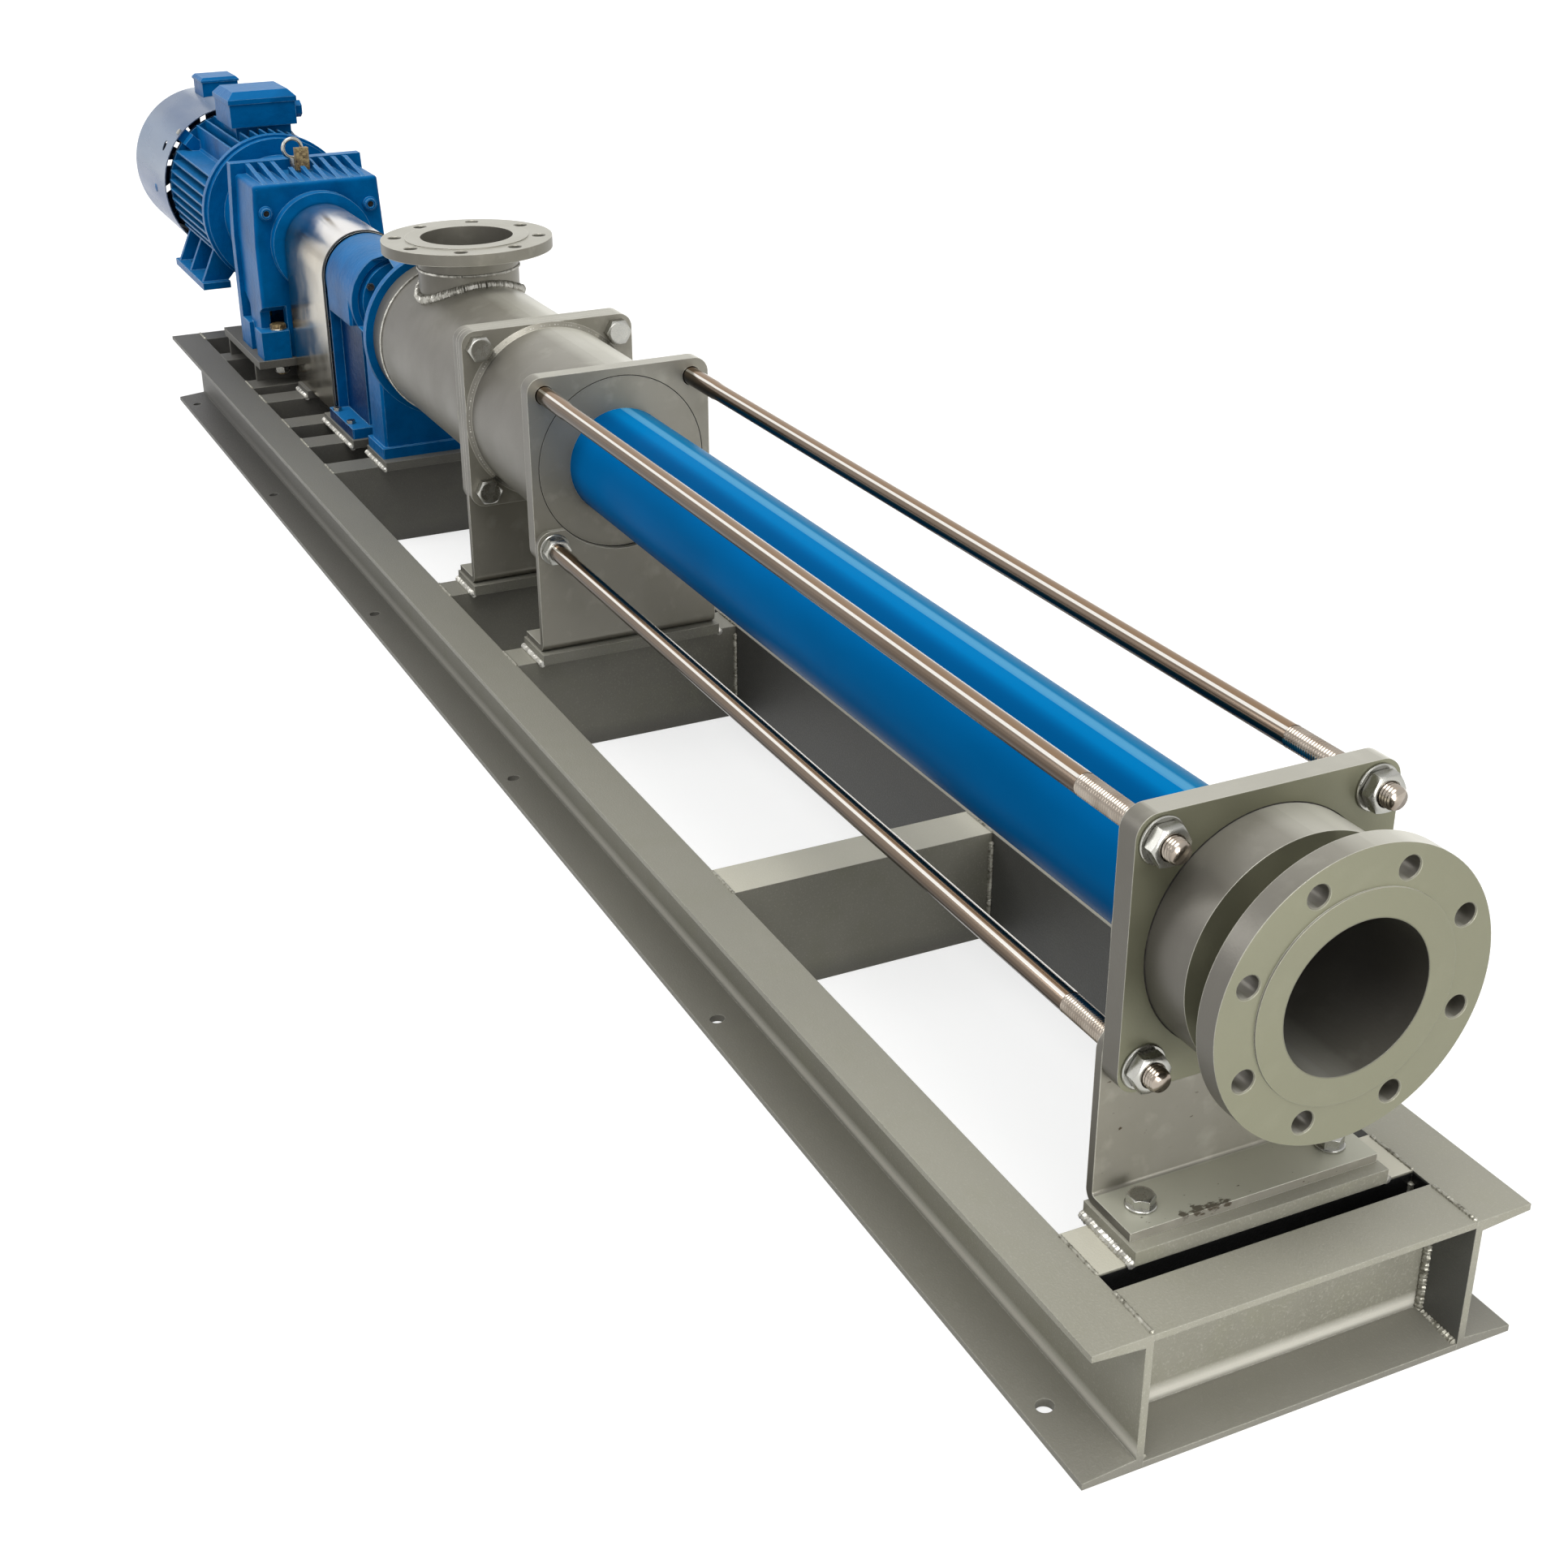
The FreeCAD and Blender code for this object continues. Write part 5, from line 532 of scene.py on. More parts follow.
def material(context, name):
    """The material of a slot, made once."""
    if name not in MADE:
        scene = context.scene
        MADE[name] = FINISHES[name](scene.pump_colours, scene.pump_sizes).material
    return MADE[name]


def dress(context, name, *nodes):
    """Give CAD nodes the finish of their slot."""
    for node in nodes:
        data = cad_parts[node].data
        data.materials.clear()
        data.materials.append(material(context, name))


# Meshes


def piece(context, name, mesh, finish, body="pump", smooth=38):
    """Turn a bmesh into an object that rides a body and has a finish."""
    bmesh.ops.recalc_face_normals(mesh, faces=mesh.faces)
    data = bpy.data.meshes.new(name)
    mesh.to_mesh(data)
    mesh.free()
    item = bpy.data.objects.new(name, data)
    context.scene.collection.objects.link(item)
    data.materials.append(material(context, finish))
    data.shade_smooth()
    data.set_sharp_from_angle(angle=math.radians(smooth))
    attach(item, body)
    return item


def frame_at(centre, direction):
    """Frame at a point: Z along a direction, X toward the row's Y, or its X if Z is near Y."""
    z = Vector(direction).normalized()
    guide = Vector((0, 1, 0)) if abs(z.y) < 0.9 else Vector((1, 0, 0))
    y = z.cross(guide).normalized()
    turn = Matrix((y.cross(z), y, z)).transposed()
    return Matrix.Translation(centre) @ turn.to_4x4()


def on_ring(place, radius, angle, height=0.0):
    """Point of a frame at a radius and an angle about its Z, and at a height."""
    return place @ Vector((radius * math.cos(angle), radius * math.sin(angle), height))


def skin(mesh, loops, ends=(False, False)):
    """Skin a list of point loops of equal length, and close its ends if asked."""
    rows = [[mesh.verts.new(point) for point in loop] for loop in loops]
    count = len(rows[0])
    for first, second in zip(rows, rows[1:]):
        for i in range(count):
            j = (i + 1) % count
            mesh.faces.new((first[i], first[j], second[j], second[i]))
    if ends[0]:
        mesh.faces.new(rows[0])
    if ends[1]:
        mesh.faces.new(list(reversed(rows[-1])))


def lathe(mesh, centre, direction, profile, steps, ends=(False, False)):
    """Turn a profile of (height, radius) about a direction."""
    place = frame_at(centre, direction)
    angles = [2 * math.pi * i / steps for i in range(steps)]
    skin(mesh, [[on_ring(place, r, a, h) for a in angles] for h, r in profile], ends)


def hex_block(mesh, centre, direction, flats, thick, sizes, turn=0.0, bore=0.0, both=True):
    """A nut or bolt head whose corners are turned off on its outer face, or on both."""
    place = frame_at(centre, direction)
    steps = sizes.round_steps
    cut = flats * TURNED
    slope = sizes.nut_chamfer / (sizes.nut_flats * (0.5 / math.cos(math.pi / 6) - TURNED))
    rows = [[], [], [], []]
    for i in range(steps):
        angle = 2 * math.pi * i / steps
        reach = flats / 2 / math.cos((angle + math.pi / 6) % (math.pi / 3) - math.pi / 6)
        drop = (reach - cut) * slope
        spots = ((cut, 0), (reach, drop if both else 0), (reach, thick - drop), (cut, thick))
        for row, (radius, height) in zip(rows, spots):
            row.append(on_ring(place, radius, angle + turn, height))
    if bore:
        inner = [(bore * 1.09, thick), (bore, thick - bore * 0.09), (bore, 0)]
    else:
        inner = [(cut * 0.8, thick * 0.985)]
    angles = [2 * math.pi * i / steps + turn for i in range(steps)]
    rows += [[on_ring(place, r, a, h) for a in angles] for r, h in inner]
    skin(mesh, rows, (not bore, not bore))


def washer(mesh, centre, direction, outer, inner, thick, steps):
    """A flat washer with a rounded outer edge."""
    edge = thick * 0.3
    lathe(mesh, centre, direction, [
        (0, inner), (0, outer - edge), (edge, outer), (thick - edge, outer),
        (thick, outer - edge), (thick, inner), (0, inner)], steps)


def thread(mesh, start, direction, span, radius, sizes):
    """A threaded length of bar, chamfered at its far end."""
    place = frame_at(start, direction)
    pitch = sizes.rod_pitch
    depth = 0.4 * pitch
    steps = sizes.round_steps
    count = max(6, int(span / pitch * 6))
    loops = []
    for row in range(count + 1):
        height = span * row / count
        chamfer = max(0.0, 1 - (span - height) / (1.1 * pitch))
        loop = []
        for i in range(steps):
            wave = abs((height / pitch - i / steps) % 1.0 * 2 - 1)
            reach = radius - max(depth * wave, chamfer * depth * 1.4)
            loop.append(on_ring(place, reach, 2 * math.pi * i / steps, height))
        loops.append(loop)
    skin(mesh, loops, (True, True))


def bead(mesh, points, sizes, radius, seed):
    """A weld bead along a path: a bar whose radius and place ripple."""
    dice = random.Random(seed)
    path = [Vector(point) for point in points]
    spots = []
    for first, second in zip(path, path[1:]):
        way = second - first
        count = max(1, round(way.length / (sizes.weld_ripple / 3)))
        spots += [(first.lerp(second, i / count), way) for i in range(count)]
    spots.append((path[-1], path[-1] - path[-2]))
    loops = []
    for index, (point, way) in enumerate(spots):
        swell = (0.84, 1.02, 0.94)[index % 3] * (1 + dice.uniform(-0.08, 0.08))
        if index in (0, len(spots) - 1):
            swell *= 0.35
        drift = Vector([dice.uniform(-0.06, 0.06) * radius for _ in range(3)])
        place = frame_at(point + drift, way)
        loops.append([on_ring(place, radius * swell, math.pi * i / 4) for i in range(8)])
    skin(mesh, loops, (True, True))


def circle_path(centre, direction, radius, count=72):
    """Points on a closed circle about a direction."""
    place = frame_at(centre, direction)
    return [on_ring(place, radius, 2 * math.pi * (i / count)) for i in range(count + 1)]


# Operators, one for each group of pieces


class PumpStep(Operator):
    """What the pump's operators share."""

    bl_options = {"REGISTER", "UNDO"}

    @property
    def sizes(self):
        return bpy.context.scene.pump_sizes


class PUMP_OT_base_frame(PumpStep):
    """Channel base: cloudy primer, and weld beads at every joint"""

    bl_idname = "pump.base_frame"
    bl_label = "Base frame"

    # In mm: front stations of the cross channels; front, back and half width of the pads
    CROSS = (-84, -859, -1625, -1943, -2648, -2830, -2978, -3172, -3294)
    PADS = ((-163, -79, 142), (-1692, -1608, 142), (-2010, -1926, 142),
            (-2994, -2780, 102), (-2743, -2615, 85), (-3244, -3164, 92))
    CROSS_WIDE = 62
    # Half widths: the rails' inner faces, and the seams on top of the rails
    WALL, JOINT = 176.5, 178
    # Heights of the upright seams' ends, the rails' tops and the pads' lower edges
    WEB_TOP, WEB_FOOT, RAIL_TOP, PAD_EDGE = -300, -428, -288, -286
    # Stations of the seams on top of the two end channels, and at the front one's web
    END_SEAMS = ((2, -58), (-3754, -3814))
    FRONT_WEB = -50

    def execute(self, context):
        dress(context, "frame_paint", "side_rails", "end_channels", "support_pads",
              "gearbox_stand")
        dress(context, "primer_with_dust_and_highlight", "cross_channels")
        mesh, pads = bmesh.new(), bmesh.new()
        width = self.sizes.weld_radius
        seed = 0
        for side in (-1, 1):
            wall, joint = side * self.WALL, side * self.JOINT
            for front in self.CROSS:
                seed += 1
                bead(mesh, [at(front + 1, wall, self.WEB_TOP), at(front + 1, wall, self.WEB_FOOT)],
                     self.sizes, width * 1.2, seed)
                bead(mesh, [at(front, joint, self.RAIL_TOP),
                            at(front - self.CROSS_WIDE, joint, self.RAIL_TOP)],
                     self.sizes, width * 0.65, seed)
            for front, back in self.END_SEAMS:
                seed += 1
                bead(mesh, [at(front, joint, self.RAIL_TOP), at(back, joint, self.RAIL_TOP)],
                     self.sizes, width * 0.8, seed)
            corner = at(self.FRONT_WEB, wall + side, self.WEB_FOOT - 2)
            bead(mesh, [at(self.FRONT_WEB, wall + side, self.WEB_TOP), corner], self.sizes,
                 width * 1.6, seed)
            bead(mesh, [corner, at(2, wall, self.WEB_FOOT - 3)], self.sizes, width * 1.5, seed)
            for front, back, reach in self.PADS:
                seed += 1
                edge = side * (reach + 1.5)
                bead(pads, [at(front, edge, self.PAD_EDGE), at(back, edge, self.PAD_EDGE)],
                     self.sizes, width * 1.5, seed)
        piece(context, "base_welds", mesh, "weld")
        piece(context, "pad_welds", pads, "blasted_weld")
        return {"FINISHED"}


class PUMP_OT_discharge(PumpStep):
    """Discharge end, clamp plates, supports, spool and suction housing in stainless steel"""

    bl_idname = "pump.discharge"
    bl_label = "Stainless steel parts"

    # Station and radius of each joint line, drawn as a dark ring of dirt and painted shadow
    GAPS = ((-130, 120.2), (-1626, 127.1))

    def execute(self, context):
        dress(context, "satin_stainless", "stator_support", "spool_support", "inlet_clamp_plate",
              "stator_end_rings", "spool", "suction_housing")
        dress(context, "olive_stainless", "discharge_body", "discharge_clamp_plate")
        dress(context, "stained_stainless", "discharge_support")
        mesh = bmesh.new()
        for station, radius in self.GAPS:
            lathe(mesh, at(station), (1, 0, 0), [
                (0, (radius + 0.9) * MM), (0.0004, (radius + 0.8) * MM),
                (0.0005, (radius - 0.2) * MM), (0, (radius - 0.4) * MM)], 96)
        piece(context, "joint_gaps", mesh, "seam_grime_and_shade")
        return {"FINISHED"}


class PUMP_OT_stator(PumpStep):
    """Painted stator tube with its rubber liner, gaskets and chromed rotor"""

    bl_idname = "pump.stator"
    bl_label = "Stator"

    def execute(self, context):
        dress(context, "blue_tube", "stator_tube")
        dress(context, "black_rubber", "stator_gaskets", "stator_liner")
        dress(context, "hard_chrome", "rotor")
        return {"FINISHED"}


class PUMP_OT_tie_rods(PumpStep):
    """Tie rods with rolled threads at both ends and a ground bar between them"""

    bl_idname = "pump.tie_rods"
    bl_label = "Tie rods"

    # In mm: stations of the front tip, the bar's rear end and the rear tip; thread in front
    FRONT, BAR_END, BACK = -101, -1653, -1674
    THREAD_FRONT = 145
    # In metres: radius of the bar's thicker rear end, and where it and its taper stop
    THICK, THICK_END, TAPER_END = 0.013, 0.115, 0.127

    def execute(self, context):
        sizes = self.sizes
        mesh, bars = bmesh.new(), bmesh.new()
        bar_front = self.FRONT - self.THREAD_FRONT
        radius, length = sizes.rod_radius, (bar_front - self.BAR_END) * MM
        for y in ROD_OFFSETS:
            for z in ROD_OFFSETS:
                thread(mesh, at(bar_front, y, z), (1, 0, 0), self.THREAD_FRONT * MM, radius, sizes)
                lathe(bars, at(self.BAR_END, y, z), (1, 0, 0), [
                    (0, 0.0118), (0, 0.0122), (0.001, self.THICK), (self.THICK_END, self.THICK),
                    (self.TAPER_END, radius), (length, radius), (length, 0.011)],
                    sizes.round_steps, (True, True))
                thread(mesh, at(self.BAR_END, y, z), (-1, 0, 0), (self.BAR_END - self.BACK) * MM,
                       radius, sizes)
        threads = piece(context, "tie_rod_threads", mesh, "threaded_bar", smooth=75)
        rods = piece(context, "tie_rod_bars", bars, "polished_rod")
        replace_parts(rods, "tie_rods")
        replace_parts(threads, "tie_rods")
        return {"FINISHED"}


class PUMP_OT_fasteners(PumpStep):
    """Nuts, washers and bolts of the clamp plates, joint and feet"""

    bl_idname = "pump.fasteners"
    bl_label = "Nuts, washers and bolts"

    FLATS_UP = math.pi / 6
    # Face station and way of each nut on a tie rod; the lower rods have one more
    NUTS = ((-127, 1), (-1654, -1))
    LOWER_NUTS = (*NUTS, (-1613, 1))
    # In mm: stations of the joint bolts' heads, nuts and threaded ends
    JOINT_FRONT, JOINT_BACK, JOINT_TIP = -1918, -1960, -1975
    # In metres: flats, head and nut of these bolts, radius and thickness of washers
    JOINT_FLATS, JOINT_HEAD, JOINT_NUT = 0.036, 0.015, 0.020
    WASHER, WASHER_THICK = 0.023, 0.003
    # In mm: stations of the foot bolts, heights of their washer, head and lower end
    FEET = (-124, -1657, -1975)
    FOOT_TOP, FOOT_HEAD, FOOT_TIP = -262, -259, -287.8
    # In metres: flats and thickness of their heads, radius of their shanks
    FOOT_FLATS, FOOT_THICK, FOOT_SHANK = 0.024, 0.010, 0.0078

    def execute(self, context):
        sizes = self.sizes
        nuts, rings, heads, screws = (bmesh.new() for _ in range(4))
        steps = sizes.round_steps
        for y in ROD_OFFSETS:
            for z in ROD_OFFSETS:
                for face, way in self.LOWER_NUTS if z < 0 else self.NUTS:
                    hex_block(nuts, at(face, y, z), (way, 0, 0), sizes.nut_flats, sizes.nut_thick,
                              sizes, self.FLATS_UP, sizes.rod_radius + 0.0001)
                    washer(rings, at(face - 3 * way, y, z), (way, 0, 0), self.WASHER,
                           sizes.rod_radius + 0.001, self.WASHER_THICK, steps)
                hex_block(heads, at(self.JOINT_FRONT, y, z), (1, 0, 0), self.JOINT_FLATS,
                          self.JOINT_HEAD, sizes, self.FLATS_UP, both=False)
                hex_block(heads, at(self.JOINT_BACK, y, z), (-1, 0, 0), self.JOINT_FLATS,
                          self.JOINT_NUT, sizes, self.FLATS_UP, 0.0121)
                thread(heads, at(self.JOINT_TIP, y, z), (-1, 0, 0), 0.015, 0.012, sizes)
        for station in self.FEET:
            for y in FOOT_OFFSETS:
                washer(rings, at(station, y, self.FOOT_TOP), (0, 0, 1), 0.0152, 0.0081,
                       self.WASHER_THICK, steps)
                hex_block(screws, at(station, y, self.FOOT_HEAD), (0, 0, 1), self.FOOT_FLATS,
                          self.FOOT_THICK, sizes, both=False)
                lathe(screws, at(station, y, self.FOOT_TIP), (0, 0, 1), [
                    (0, self.FOOT_SHANK), (0.0289, self.FOOT_SHANK)], 20, (True, True))
        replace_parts(piece(context, "clamp_nuts", nuts, "zinc_steel"), "tie_rod_nuts")
        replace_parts(piece(context, "flat_washers", rings, "zinc_steel"), "washers")
        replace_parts(piece(context, "joint_bolt_heads", heads, "zinc_steel"), "joint_bolts")
        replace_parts(piece(context, "foot_bolt_heads", screws, "zinc_steel"), "foot_bolts")
        return {"FINISHED"}


class PUMP_OT_suction(PumpStep):
    """Weld seams of the spool and the suction branch"""

    bl_idname = "pump.suction"
    bl_label = "Spool and suction welds"

    # Radii of pipe and branch and station of the branch, in mm
    PIPE, BRANCH, STATION = 132.5, 84.15, -2297
    # Station of each ring of weld on the pipes, and its share of the weld radius
    RINGS = ((-1652.5, 1.1), (-1916.5, 1.0), (-1961.5, 1.1), (-2403, 0.6))
    # Height, share and seed of each ring of weld on the branch
    BRANCH_RINGS = ((179, 0.9, 42), (151, 0.75, 43))
    SADDLE_STEPS, SADDLE_SEED = 96, 41

    def execute(self, context):
        sizes = self.sizes
        mesh = bmesh.new()
        for station, share in self.RINGS:
            bead(mesh, circle_path(at(station), (1, 0, 0), (self.PIPE + 1) * MM), sizes,
                 sizes.weld_radius * share, int(-station))
        # The saddle runs just outside the line where the branch meets the pipe
        saddle = []
        for i in range(self.SADDLE_STEPS + 1):
            turn = 2 * math.pi * i / self.SADDLE_STEPS
            y = self.BRANCH * math.sin(turn)
            z = math.sqrt(self.PIPE ** 2 - y ** 2)
            saddle.append(at(self.STATION + (self.BRANCH + 1.5) * math.cos(turn), y * 1.015, z + 2))
        bead(mesh, saddle, sizes, sizes.weld_radius * 2.4, self.SADDLE_SEED)
        for height, share, seed in self.BRANCH_RINGS:
            bead(mesh, circle_path(at(self.STATION, 0, height), (0, 0, 1), self.BRANCH * MM),
                 sizes, sizes.weld_radius * share, seed)
        piece(context, "pipe_welds", mesh, "blasted_weld")
        return {"FINISHED"}


class PUMP_OT_bearing_housing(PumpStep):
    """Cast lantern and bearing housing with its small cap screws"""

    bl_idname = "pump.bearing_housing"
    bl_label = "Bearing housing"

    def execute(self, context):
        dress(context, "blue_enamel", "bearing_housing", "shaft_covers")
        dress(context, "zinc_steel", "machine_screws")
        return {"FINISHED"}


class PUMP_OT_guard(PumpStep):
    """Polished coupling guard with its edge trim and the coupling under it"""

    bl_idname = "pump.guard"
    bl_label = "Coupling guard"

    def execute(self, context):
        dress(context, "polished_sheet", "coupling_guard")
        dress(context, "black_rubber", "guard_edge_trim", "coupling_spider")
        dress(context, "hub_iron", "coupling_hub_pump", "coupling_hub_gearbox")
        return {"FINISHED"}


class PUMP_OT_gearbox(PumpStep):
    """Cast gearbox with its foot bolts, plugs, vent and lifting eye"""

    bl_idname = "pump.gearbox"
    bl_label = "Gearbox"

    # In mm: stations of the foot bolts, heights of their tips, nuts and heads
    BOLTS = (-3310, -3435)
    TIP, NUT_FACE, HEAD_FACE = -268, -250, -173
    # In metres: radius of a bolt, its flats, thickness of head and nut
    SHANK, FLATS, HEAD, NUT = 0.01, 0.030, 0.0124, 0.014
    # In mm: place across and height of each oil plug, stations of seat and socket
    PLUGS = ((-110, 70), (110, 70), (0, -168))
    SEAT, SOCKET = -3300, -3296

    def execute(self, context):
        dress(context, "blue_enamel", "gearbox_housing", "gearbox_cover")
        dress(context, "bronze", "vent_plug")
        dress(context, "zinc_steel", "lifting_eye")
        sizes = self.sizes
        steps = sizes.round_steps
        heads, nuts, plugs, sockets = (bmesh.new() for _ in range(4))
        for station in self.BOLTS:
            for y in FOOT_OFFSETS:
                head, nut = at(station, y, self.HEAD_FACE), at(station, y, self.NUT_FACE)
                lathe(heads, at(station, y, self.TIP), (0, 0, 1), [
                    (0, 0.0086), (0.0014, self.SHANK), (0.09, self.SHANK)], steps, (True, True))
                hex_block(heads, head, (0, 0, 1), self.FLATS, self.HEAD, sizes, both=False)
                hex_block(nuts, nut, (0, 0, -1), self.FLATS, self.NUT, sizes, 0, 0.0101)
                washer(nuts, nut, (0, 0, 1), 0.0148, 0.0104, 0.002, steps)
                washer(nuts, head, (0, 0, 1), 0.0172, 0.0104, 0.0025, steps)
        for y, z in self.PLUGS:
            lathe(plugs, at(self.SEAT, y, z), (1, 0, 0), [
                (0, 0.015), (0.005, 0.015), (0.0065, 0.0135), (0.007, 0.0115), (0.0095, 0.0105),
                (0.0098, 0.009), (0.0092, 0.0065), (0.004, 0.006)], steps, (True, False))
            # Painted shade: a dark hexagon at the bottom of each plug's recess stands for its
            # socket
            lathe(sockets, at(self.SOCKET, y, z), (1, 0, 0), [(0, 0.0064), (0.0008, 0.0062)], 6,
                  (True, True))
        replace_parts(piece(context, "foot_bolt_shanks", heads, "yellow_zinc"), "gearbox_bolts")
        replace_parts(piece(context, "foot_bolt_nuts", nuts, "zinc_steel"), "gearbox_bolts")
        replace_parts(piece(context, "screwed_plugs", plugs, "blue_enamel"), "oil_plugs")
        piece(context, "plug_sockets", sockets, "seam_grime_and_shade")
        return {"FINISHED"}


class PUMP_OT_motor(PumpStep):
    """Finned motor with its terminal boxes, cowl and separate fan"""

    bl_idname = "pump.motor"
    bl_label = "Motor and fan"

    # Place of the small plug in the side of the cowl
    PLUG = (-4166, -174, -16)

    def execute(self, context):
        dress(context, "blue_enamel", "motor_end_shields", "motor_frame", "terminal_boxes",
              "terminal_box_lids", "cable_gland", "fan_motor")
        dress(context, "cowl_paint", "fan_cowl")
        dress(context, "lamination", "motor_stator_core", "motor_rotor_core")
        dress(context, "fan_plastic", "ventilation_fan")
        mesh = bmesh.new()
        centre = at(*self.PLUG)
        lathe(mesh, centre, centre - at(self.PLUG[0]), [
            (-0.002, 0.0095), (0.0008, 0.0095), (0.0014, 0.0085), (0.0008, 0.005)],
            self.sizes.round_steps, (True, True))
        piece(context, "cowl_plug", mesh, "blue_enamel")
        return {"FINISHED"}


class PUMP_OT_running_parts(PumpStep):
    """Shafts, gears, bearings and seal inside the pump and the gearbox"""

    bl_idname = "pump.running_parts"
    bl_label = "Shafts, gears and bearings"

    def execute(self, context):
        dress(context, "ground_steel", "drive_shaft", "connecting_rod", "output_shaft",
              "motor_shaft", "fan_shaft")
        dress(context, "gear_steel", "output_gear", "countershaft", "countershaft_wheel",
              "bearing_outer_rings", "bearing_inner_rings", "drive_bearings")
        dress(context, "seal_carbide", "seal_seat", "seal_ring")
        return {"FINISHED"}


class PUMP_OT_studio(PumpStep):
    """Pale floor, soft studio light and the camera"""

    bl_idname = "pump.studio"
    bl_label = "Studio"

    # Place, axes, lens and shift of the camera, solved from the photo
    EYE = (3.3663, -1.09325, 1.3914)
    RIGHT = (0.42043, 0.90725, -0.01145)
    DOWN = (0.39102, -0.19256, -0.90001)
    AHEAD = (-0.81874, 0.37392, -0.43572)
    LENS, SHIFT_X, SHIFT_Y = 49.27, 0.0275, -0.0096
    # Name, place, target, width in metres and power of each lamp
    LAMPS = (
        ("front", (5.5, 0.0, 0.8), (1.5, 0, 0.2), 2.0, 40),
        ("low", (3.6, 0.2, 0.2), (2.2, 0, 0.08), 0.6, 14),
        ("left", (-1.0, -3.5, 2.4), (-0.8, 0, 0.4), 2.0, 40),
    )

    def execute(self, context):
        scene = context.scene
        scene.view_settings.view_transform = "Standard"
        self.camera(scene)
        self.floor(scene)
        self.lamps(scene)
        self.world(scene)
        return {"FINISHED"}

    def camera(self, scene):
        data = bpy.data.cameras.new("photo_camera")
        data.sensor_width = 36
        data.lens = self.LENS
        data.shift_x = self.SHIFT_X
        data.shift_y = self.SHIFT_Y
        data.clip_end = 200
        item = bpy.data.objects.new("photo_camera", data)
        right, down, ahead = (Vector(v).normalized() for v in (self.RIGHT, self.DOWN, self.AHEAD))
        turn = Matrix((right, -down, -ahead)).transposed()
        item.matrix_world = Matrix.Translation(self.EYE) @ turn.to_4x4()
        scene.collection.objects.link(item)
        scene.camera = item

    def floor(self, scene):
        reach = 40
        mesh = bmesh.new()
        corners = [mesh.verts.new((x * reach, y * reach, -0.0005))
                   for x, y in ((-1, -1), (1, -1), (1, 1), (-1, 1))]
        mesh.faces.new(corners)
        data = bpy.data.meshes.new("floor")
        mesh.to_mesh(data)
        mesh.free()
        item = bpy.data.objects.new("floor", data)
        scene.collection.objects.link(item)
        look = Finish("matt_studio_floor", scene.pump_colours.floor, Roughness=0.9)
        look.layer(look.pattern(0.6, 3), tuple(v * 0.985 for v in scene.pump_colours.floor))
        share = add(look.tree, "ShaderNodeMath", {0: self.seen_directly(look.tree), 1: 0.66},
                    "Value", operation="MULTIPLY")
        white = add(look.tree, "ShaderNodeEmission", {"Color": (1, 1, 1, 1), "Strength": share},
                    "Emission")
        mixed = add(look.tree, "ShaderNodeAddShader", {
            0: look.shader.outputs["BSDF"], 1: white}, "Shader")
        look.tree.links.new(mixed, look.output.inputs["Surface"])
        data.materials.append(look.material)

    def lamps(self, scene):
        for name, spot, target, width, power in self.LAMPS:
            data = bpy.data.lights.new(name, "AREA")
            data.shape = "DISK"
            data.size = width
            data.energy = power
            item = bpy.data.objects.new(name, data)
            turn = (Vector(target) - Vector(spot)).to_track_quat("-Z", "Y").to_matrix()
            item.matrix_world = Matrix.Translation(spot) @ turn.to_4x4()
            scene.collection.objects.link(item)
        data = bpy.data.lights.new("sky", "SUN")
        data.energy = 2.0
        data.angle = math.radians(40)
        item = bpy.data.objects.new("sky", data)
        item.rotation_euler = (math.radians(13), math.radians(15), 0)
        scene.collection.objects.link(item)

    def world(self, scene):
        """An even room that is brighter overhead than at the walls."""
        world = bpy.data.worlds.new("studio")
        scene.world = world
        world.use_nodes = True
        tree = world.node_tree
        tree.nodes.clear()
        way = add(tree, "ShaderNodeTexCoord", out="Generated")
        height = add(tree, "ShaderNodeVectorMath", {0: way, 1: (0, 0, 1)}, "Value",
                     operation="DOT_PRODUCT")
        level = add(tree, "ShaderNodeMapRange", {
            "Value": height, "From Min": 0, "From Max": 0.8, "To Min": 0.28, "To Max": 0.95},
            "Result")
        room = add(tree, "ShaderNodeBackground", {"Color": (1, 1, 1, 1), "Strength": level},
                   "Background")
        white = add(tree, "ShaderNodeBackground", {"Color": (1, 1, 1, 1), "Strength": 1},
                    "Background")
        mixed = add(tree, "ShaderNodeMixShader", {
            0: self.seen_directly(tree), 1: room, 2: white}, "Shader")
        add(tree, "ShaderNodeOutputWorld", {"Surface": mixed})

    def seen_directly(self, tree):
        """1 for what the camera sees, directly or through a mirror or glass, and otherwise 0."""
        total = 0
        for kind in ("Is Camera Ray", "Is Glossy Ray", "Is Transmission Ray"):
            ray = add(tree, "ShaderNodeLightPath", out=kind)
            total = add(tree, "ShaderNodeMath", {0: ray, 1: total}, "Value", operation="ADD",
                        use_clamp=True)
        return total


STEPS = (
    PUMP_OT_base_frame, PUMP_OT_discharge, PUMP_OT_stator, PUMP_OT_tie_rods, PUMP_OT_fasteners,
    PUMP_OT_suction, PUMP_OT_bearing_housing, PUMP_OT_guard, PUMP_OT_gearbox, PUMP_OT_motor,
    PUMP_OT_running_parts, PUMP_OT_studio,
)


class PUMP_PT_panel(Panel):
    """Lists the pump's operators, colours and sizes."""

    bl_label = "Progressive cavity pump"
    bl_idname = "PUMP_PT_panel"
    bl_space_type = "VIEW_3D"
    bl_region_type = "UI"
    bl_category = "Pump"

    def draw(self, context):
        layout = self.layout
        for step in STEPS:
            layout.operator(step.bl_idname)
        for group in (context.scene.pump_colours, context.scene.pump_sizes):
            box = layout.box()
            for name in group.__annotations__:
                box.prop(group, name)


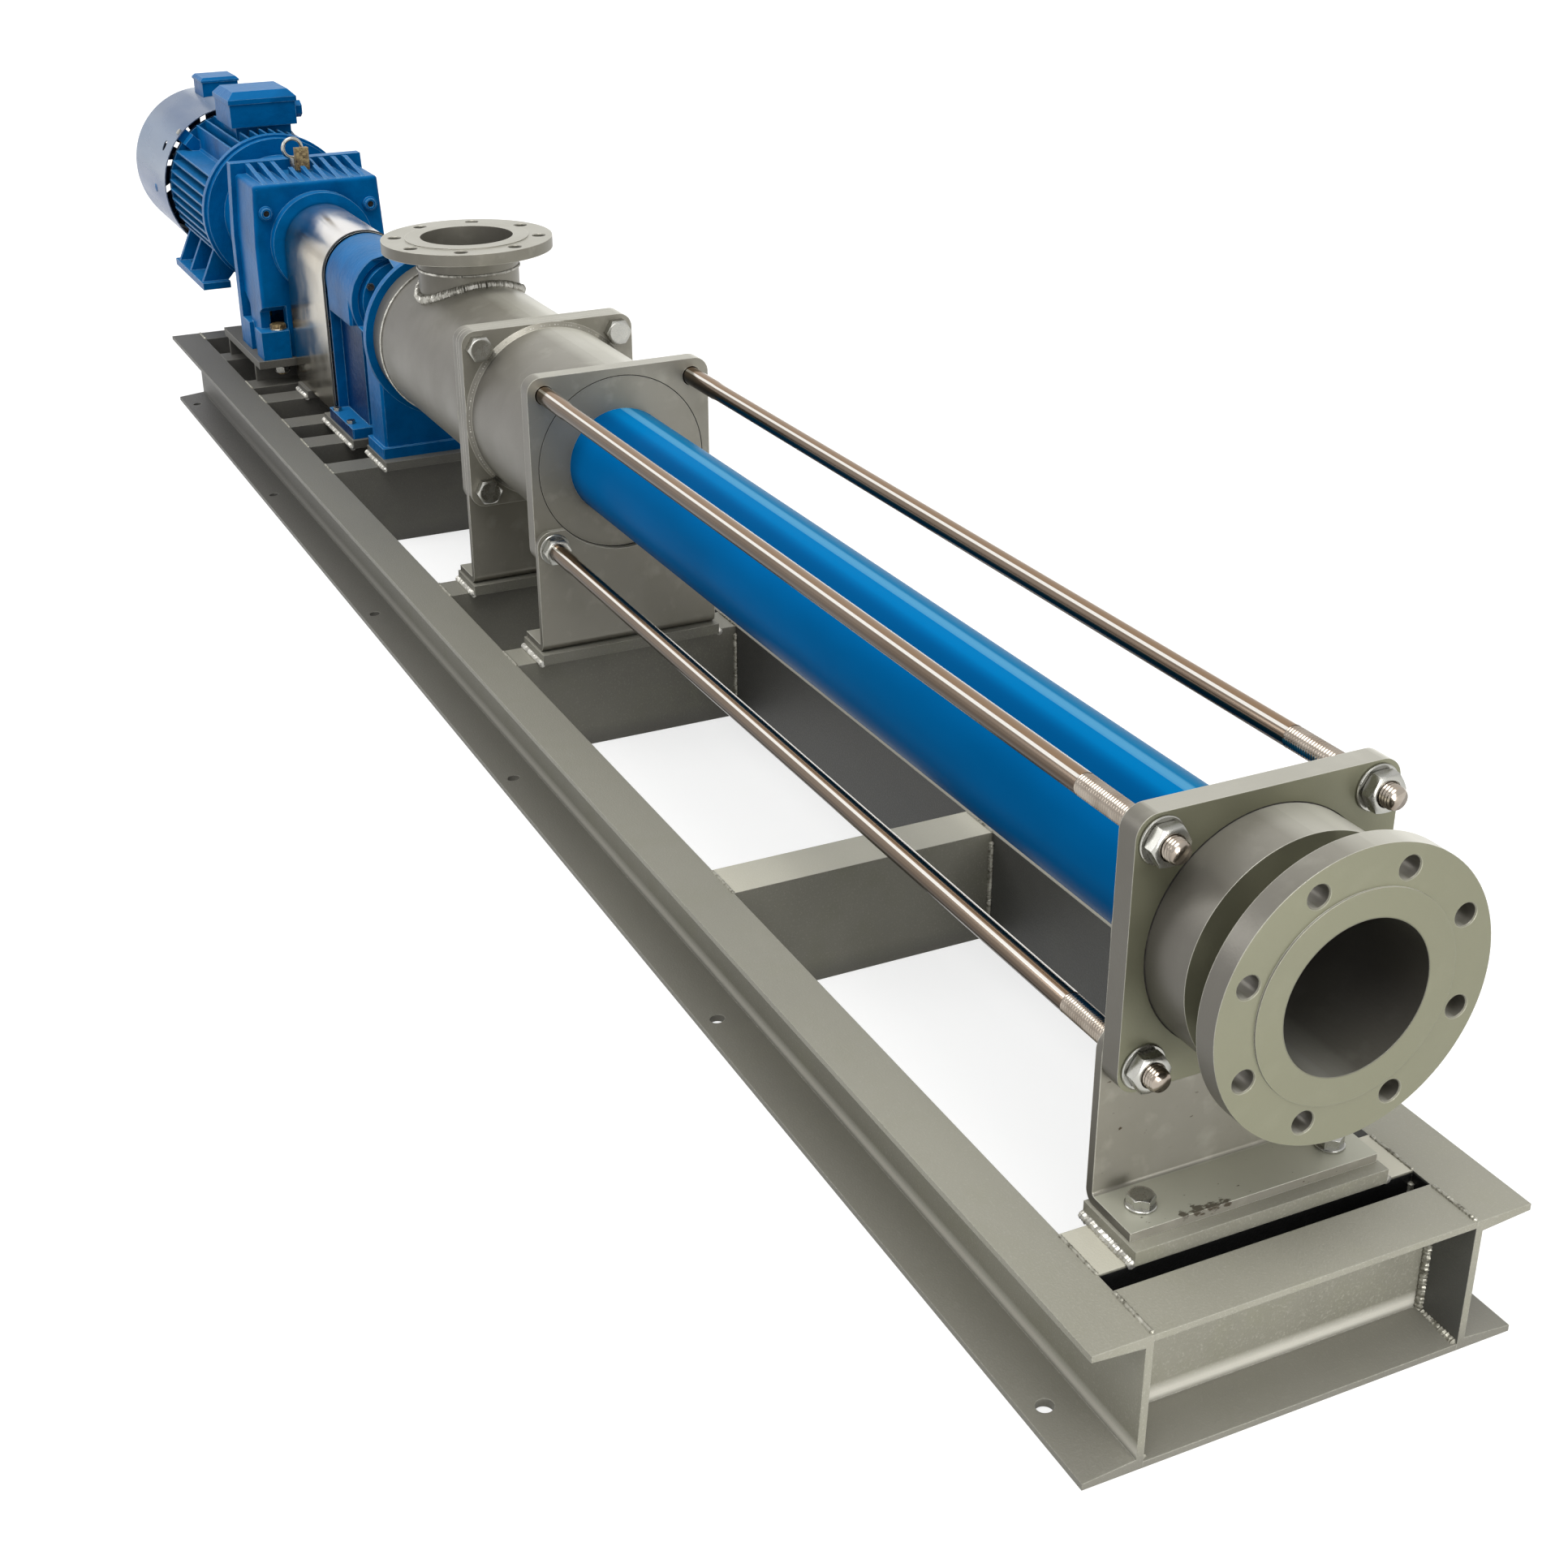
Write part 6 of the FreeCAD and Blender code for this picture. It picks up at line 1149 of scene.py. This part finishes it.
CLASSES = (PumpColours, PumpSizes, *STEPS, PUMP_PT_panel)


def register():
    for item in CLASSES:
        bpy.utils.register_class(item)
    bpy.types.Scene.pump_colours = PointerProperty(type=PumpColours)
    bpy.types.Scene.pump_sizes = PointerProperty(type=PumpSizes)


def unregister():
    del bpy.types.Scene.pump_sizes
    del bpy.types.Scene.pump_colours
    for item in reversed(CLASSES):
        bpy.utils.unregister_class(item)


def main():
    """Build everything in order."""
    register()
    for step in STEPS:
        group, name = step.bl_idname.split(".")
        getattr(getattr(bpy.ops, group), name)()


if __name__ == "__main__":
    main()
